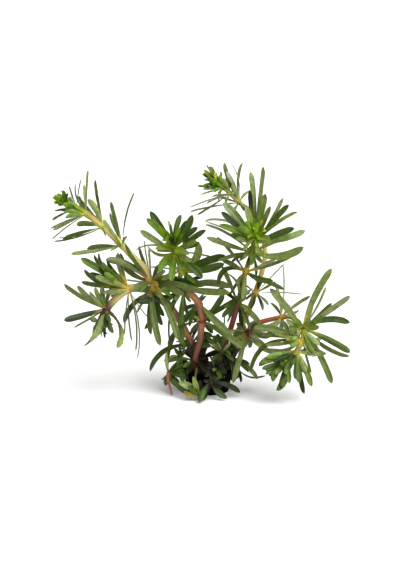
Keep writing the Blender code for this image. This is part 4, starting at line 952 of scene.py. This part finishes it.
def pot_piece(finish):
    """The net pot: a turned sheet in the middle of its wall, with its slots left open, thickened."""
    sector = math.tau / SLOT_COUNT
    half_slot = SLOT_WIDTH / 2 / wall_radius((SLOT_LOW + SLOT_HIGH) / 2)
    inside_slot = np.array((-half_slot, -half_slot / 3, half_slot / 3))
    rib = np.linspace(half_slot, sector - half_slot, RIB_POINTS, endpoint=False)
    slots = (np.arange(SLOT_COUNT) + 0.5) * sector
    angles = (slots[:, None] + np.concatenate((inside_slot, rib))).ravel()
    walls = np.array(WALL_HEIGHTS)
    radii = np.concatenate((FLOOR_RADII, wall_radius(walls) - POT_WALL / 2))
    heights = np.concatenate(([POT_WALL / 2] * len(FLOOR_RADII), walls))
    rows, columns = len(radii), len(angles)
    points = around(radii[:, None], angles, heights[:, None])
    in_slot_column = np.arange(columns) % (len(inside_slot) + RIB_POINTS) < len(inside_slot)
    in_slot_row = (heights[:-1] >= SLOT_LOW - 0.01) & (heights[1:] <= SLOT_HIGH + 0.01)
    kept = ~(in_slot_row[:, None] & in_slot_column)
    mesh = bpy.data.meshes.new("net_pot")
    faces = grid_faces(rows, columns)[kept].tolist() + tube_faces(rows, columns)[1].tolist()
    mesh.from_pydata(np.concatenate((points, ((0, 0, POT_WALL / 2),))) * MM, [], faces)
    mesh.materials.append(finish)
    pot = linked("net_pot", mesh)
    wall = pot.modifiers.new("Wall", "SOLIDIFY")
    wall.thickness = POT_WALL * MM
    wall.offset = 0
    edges = pot.modifiers.new("Moulded edges", "BEVEL")
    edges.width = MOULDED_EDGE * MM
    edges.segments = 2
    edges.limit_method = "ANGLE"
    edges.angle_limit = math.radians(40)
    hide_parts("pot")
    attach(pot, "root")


def lip_piece(finish):
    """The pot's lip: a squarish section, cos and sin to the power 0.55, turned round the mouth."""

    def squarish(wave):
        return np.sign(wave) * np.abs(wave) ** LIP_POWER

    a, b = full_turn(LIP_GRID[0])[:, None], full_turn(LIP_GRID[1])
    inner, outer = POT_TOP_RADIUS - POT_WALL - 0.1, POT_TOP_RADIUS + POT_LIP
    radius = (inner + outer) / 2 + (outer - inner) / 2 * squarish(np.cos(b))
    rise = POT_HEIGHT - POT_WALL / 2 + POT_WALL / 2 * squarish(np.sin(b))
    lip = Shells()
    lip.add(around(radius, a, rise), doughnut_faces(*LIP_GRID), (0, 0, 0))
    piece = lip.made("pot_lip", finish)
    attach(piece, "root")


def medium_piece(finish):
    """The plug of medium: a closed turned body whose top is raised by three crossed waves."""
    radii, rises = MEDIUM_RADII[:, None], MEDIUM_RISES[:, None]
    a = full_turn(MEDIUM_COLUMNS)
    x, y = radii * np.cos(a), radii * np.sin(a)
    bumps = 0.35 * np.sin(x * 1.9 + 1) * np.cos(y * 1.6)
    bumps = bumps + 0.25 * np.sin(x * 3.7 - y * 2.9) + 0.15 * np.sin(y * 6.1 + x)
    z = MEDIUM_TOP + rises + np.where((radii < 11.5) & (rises > -0.5), bumps, 0)
    poles = ((0, 0, MEDIUM_TOP + 0.2), (0, 0, MEDIUM_TOP + MEDIUM_RISES[-1]))
    shells = Shells()
    faces = [array[:, ::-1] for array in tube_faces(len(radii), MEDIUM_COLUMNS)]
    shells.add(np.concatenate((around(radii, a, z), poles)), faces, MEDIUM_TINT)
    chance = np.random.default_rng(7)
    for _ in range(GRAINS):
        add_grain(shells, chance)
    piece = shells.made("medium_plug", finish)
    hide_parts("growing_medium")
    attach(piece, "root")


def add_grain(shells, chance, columns=7):
    """A rounded lump on the medium: three rings and two poles, each radius shaken a little."""
    where = chance.uniform(-1, 1, 2)
    size = chance.uniform(0.35, 0.8)
    centre = np.array((*(where * GRAINS_REACH), MEDIUM_TOP + 0.25 * size))
    a = full_turn(columns) + np.array((0, 0.4, 0.1))[:, None]
    rise = np.array((-0.6, 0.05, 0.6))[:, None]
    radius = np.sqrt(1 - rise**2) * chance.uniform(0.75, 1.1, (3, columns))
    points = np.concatenate((around(radius, a, rise), ((0, 0, -0.9), (0, 0, 0.9)))) * size + centre
    shells.add(points, tube_faces(3, columns), np.array(GRAIN_TINT) * chance.uniform(0.4, 1.8))


def fill(tree, node, **inputs):
    """Fills a shader node's inputs, named or numbered, with values, sockets or nodes' first outputs."""
    for key, value in inputs.items():
        socket = node.inputs[int(key[1:]) if key[1:].isdigit() else key.replace("_", " ")]
        if isinstance(value, bpy.types.Node):
            value = value.outputs[0]
        if isinstance(value, bpy.types.NodeSocket):
            tree.links.new(value, socket)
        else:
            socket.default_value = value


def add_node(tree, kind, settings=None, **inputs):
    """Adds a shader node. Settings are its properties, and inputs are as in `fill`."""
    node = tree.nodes.new("ShaderNode" + kind)
    for key, value in (settings or {}).items():
        setattr(node, key, value)
    fill(tree, node, **inputs)
    return node


def new_finish(name):
    """A material, its tree, its shader, and the place on the piece that its patterns read."""
    finish = bpy.data.materials.new(name)
    finish.use_nodes = True
    tree = finish.node_tree
    place = add_node(tree, "TexCoord").outputs["Object"]
    return finish, tree, tree.nodes["Principled BSDF"], place


def between(low, high, start, end):
    """Inputs that turn a pattern's values from low to high into values from start to end."""
    return {"From_Min": low, "From_Max": high, "To_Min": start, "To_Max": end}


def per_millimetre(size):
    """A noise scale in cycles per metre for features of this size in millimetres."""
    return 1000 / size


def leaf_finish():
    """Living leaf: a thin waxy skin over soft green tissue, so a broad soft sheen and a little
    light that comes through. The midrib is paler near the collar, and the lower side is greyer."""
    finish, tree, shader, place = new_finish("waxy leaf")
    tint = add_node(tree, "Attribute", {"attribute_name": "tint"})
    blade = add_node(tree, "Attribute", {"attribute_name": "blade"}).outputs["Vector"]
    across, along, upper = add_node(tree, "SeparateXYZ", Vector=blade).outputs
    mottle = add_node(tree, "TexNoise", Vector=place, Scale=per_millimetre(2.6), Detail=4.0)
    mottled = add_node(tree, "MapRange", Value=mottle, **between(0.3, 0.7, 0.72, 1.22))
    colour = add_node(tree, "VectorMath", {"operation": "SCALE"}, i0=tint, Scale=mottled)
    stretched = add_node(tree, "VectorMath", {"operation": "MULTIPLY"}, i0=blade, i1=(5.0, 0.35, 1.0))
    fibres = add_node(tree, "TexNoise", Vector=stretched, Scale=1.0, Detail=3.0)
    fibred = add_node(tree, "MapRange", Value=fibres, **between(0.3, 0.7, 0.86, 1.12))
    colour = add_node(tree, "VectorMath", {"operation": "SCALE"}, i0=colour, Scale=fibred)

    aside = add_node(tree, "Math", {"operation": "ABSOLUTE"}, i0=across)
    smooth = {"interpolation_type": "SMOOTHSTEP"}
    rib = add_node(tree, "MapRange", smooth, Value=aside, **between(0.05, 0.2, 1.0, 0.0))
    fading = add_node(tree, "MapRange", Value=along, **between(2.0, 20.0, 0.6, 0.12))
    pale = add_node(tree, "Math", {"operation": "MULTIPLY"}, i0=rib, i1=fading)
    lighter, greyer = (
        add_node(tree, "VectorMath", {"operation": "MULTIPLY_ADD"}, i0=colour, i1=share, i2=more)
        for share, more in (((2.1, 1.9, 1.7), (0.005, 0.006, 0.002)), ((1.32, 1.26, 1.75), (0.003,) * 3))
    )
    ribbed = add_node(tree, "Mix", {"data_type": "RGBA"}, i0=pale, i6=colour, i7=lighter).outputs[2]
    below = add_node(tree, "MapRange", Value=upper, **between(0.0, 1.0, 1.0, 0.0))
    sided = add_node(tree, "Mix", {"data_type": "RGBA"}, i0=below, i6=ribbed, i7=greyer).outputs[2]

    sheen = add_node(tree, "MapRange", Value=mottle, **between(0.3, 0.7, 0.36, 0.52))
    grain = add_node(tree, "TexNoise", Vector=place, Scale=per_millimetre(0.45), Detail=2.0)
    height = add_node(tree, "Math", {"operation": "ADD"}, i0=grain, i1=fibres)
    bump = add_node(tree, "Bump", Strength=0.35, Distance=0.00012, Height=height)
    fill(tree, shader, Base_Color=sided, Roughness=sheen, Normal=bump, IOR=1.38, Specular_IOR_Level=0.32,
         Coat_Weight=0.05, Coat_Roughness=0.3, Subsurface_Weight=0.15,
         Subsurface_Radius=(0.6, 1.0, 0.2), Subsurface_Scale=0.0006)
    return finish


def stem_finish():
    """Green wood: a smooth waxy rind with fine streaks along it and small darker flecks."""
    finish, tree, shader, place = new_finish("waxy stem rind")
    tint = add_node(tree, "Attribute", {"attribute_name": "tint"})
    blade = add_node(tree, "Attribute", {"attribute_name": "blade"}).outputs["Vector"]
    stretched = add_node(tree, "VectorMath", {"operation": "MULTIPLY"}, i0=blade, i1=(3.5, 0.16, 3.5))
    streaks = add_node(tree, "TexNoise", Vector=stretched, Scale=1.0, Detail=4.0)
    streaked = add_node(tree, "MapRange", Value=streaks, **between(0.3, 0.7, 0.78, 1.2))
    flecks = add_node(tree, "TexNoise", Vector=place, Scale=per_millimetre(0.8), Detail=2.0)
    flecked = add_node(tree, "MapRange", Value=flecks, **between(0.25, 0.42, 0.8, 1.0))
    colour = add_node(tree, "VectorMath", {"operation": "SCALE"}, i0=tint, Scale=streaked)
    colour = add_node(tree, "VectorMath", {"operation": "SCALE"}, i0=colour, Scale=flecked)
    bump = add_node(tree, "Bump", Strength=0.4, Distance=0.00015, Height=streaks)
    fill(tree, shader, Base_Color=colour, Roughness=0.42, Normal=bump, IOR=1.42,
         Subsurface_Weight=0.12, Subsurface_Radius=(1.0, 0.6, 0.25), Subsurface_Scale=0.0008)
    return finish


def plastic_finish():
    """Black polypropylene: moulded, faintly grained, satin, with dust in patches."""
    finish, tree, shader, place = new_finish("black polypropylene")
    dust = add_node(tree, "TexNoise", Vector=place, Scale=per_millimetre(3.5), Detail=5.0)
    dusty = add_node(tree, "MapRange", Value=dust, **between(0.45, 0.75, 0.0, 0.35))
    clean, grey = ((*linear(code), 1) for code in ("#020203", "#09080B"))
    colour = add_node(tree, "Mix", {"data_type": "RGBA"}, i0=dusty, i6=clean, i7=grey).outputs[2]
    rough = add_node(tree, "MapRange", Value=dust, **between(0.3, 0.7, 0.6, 0.85))
    grain = add_node(tree, "TexNoise", Vector=place, Scale=per_millimetre(0.35), Detail=2.0)
    bump = add_node(tree, "Bump", Strength=0.25, Distance=0.0001, Height=grain)
    fill(tree, shader, Base_Color=colour, Roughness=rough, Normal=bump, IOR=1.49, Specular_IOR_Level=0.03)
    return finish


def medium_finish():
    """Damp rooting medium: near-black fibre and grit, matt, with a wet glint here and there."""
    finish, tree, shader, place = new_finish("damp rooting medium")
    tint = add_node(tree, "Attribute", {"attribute_name": "tint"})
    crumbs = add_node(tree, "TexNoise", Vector=place, Scale=per_millimetre(0.7), Detail=6.0)
    shade = add_node(tree, "MapRange", Value=crumbs, **between(0.3, 0.7, 0.4, 2.2))
    colour = add_node(tree, "VectorMath", {"operation": "SCALE"}, i0=tint, Scale=shade)
    wet = add_node(tree, "MapRange", Value=crumbs, **between(0.4, 0.65, 0.95, 0.6))
    bump = add_node(tree, "Bump", Strength=0.8, Distance=0.0004, Height=crumbs)
    fill(tree, shader, Base_Color=colour, Roughness=wet, Normal=bump, Specular_IOR_Level=0.1)
    return finish


def floor_and_light():
    """A white studio floor under soft light from above and in front, as in the photograph."""
    mesh = bpy.data.meshes.new("studio_floor")
    corners = [(x * FLOOR_REACH, y * FLOOR_REACH, 0) for x, y in ((-1, -1), (1, -1), (1, 1), (-1, 1))]
    mesh.from_pydata(corners, [], [(0, 1, 2, 3)])
    finish, tree, shader, place = new_finish("white card floor")
    soft = add_node(tree, "TexNoise", Vector=place, Scale=per_millimetre(60))
    pale = add_node(tree, "MapRange", Value=soft, To_Min=0.90, To_Max=0.93)
    fill(tree, shader, Base_Color=pale, Roughness=0.8, Specular_IOR_Level=0.2)
    mesh.materials.append(finish)
    floor = linked("studio_floor", mesh)

    world = bpy.data.worlds.new("bright studio")
    world.use_nodes = True
    fill(world.node_tree, world.node_tree.nodes["Background"], Color=(1, 1, 1, 1), Strength=WORLD_STRENGTH)
    bpy.context.scene.world = world
    for name, stand, breadth, power in LIGHTS:
        light = bpy.data.lights.new(name, "SUN")
        light.angle = math.radians(breadth)
        light.energy = power
        aim(linked(name, light), Vector(stand), -Vector(stand))


def aim(thing, place, way):
    """Stands a lamp or the camera at a place and points it along a way, with its top upwards."""
    thing.location = place
    thing.rotation_mode = "QUATERNION"
    thing.rotation_quaternion = way.to_track_quat("-Z", "Y")


def camera():
    """The photograph's view: the scale of the bunch fixes the height of the frame."""
    centre = ACROSS * VIEW_CENTRE_ACROSS + UP * VIEW_CENTRE_UP
    data = bpy.data.cameras.new("front camera")
    data.sensor_width = SENSOR
    data.lens = SENSOR * CAMERA_DISTANCE / (PHOTO_HEIGHT * MM_PER_PIXEL)
    data.clip_start = 0.05
    data.clip_end = 20
    view = linked("front camera", data)
    aim(view, Vector((centre + TOWARD * CAMERA_DISTANCE) * MM), Vector(-TOWARD))
    bpy.context.scene.camera = view


camera()
floor_and_light()
leaf, stem = leaf_finish(), stem_finish()
for stem_name, (_, node_tones, rows) in STEMS.items():
    knots = stem_knots(rows)
    ringed = [k for k, row in enumerate(rows) if row[4:]]
    stem_piece(stem_name, knots, ringed, stem)
    # A bud has no node of its own, so it needs no tone of its collar.
    for k, node_tone in zip(ringed, [*node_tones, None]):
        ring_piece(rows[k][4], knots, k, node_tone, leaf)
plastic = plastic_finish()
pot_piece(plastic)
lip_piece(plastic)
medium_piece(medium_finish())

bpy.context.scene.view_settings.view_transform = "Standard"
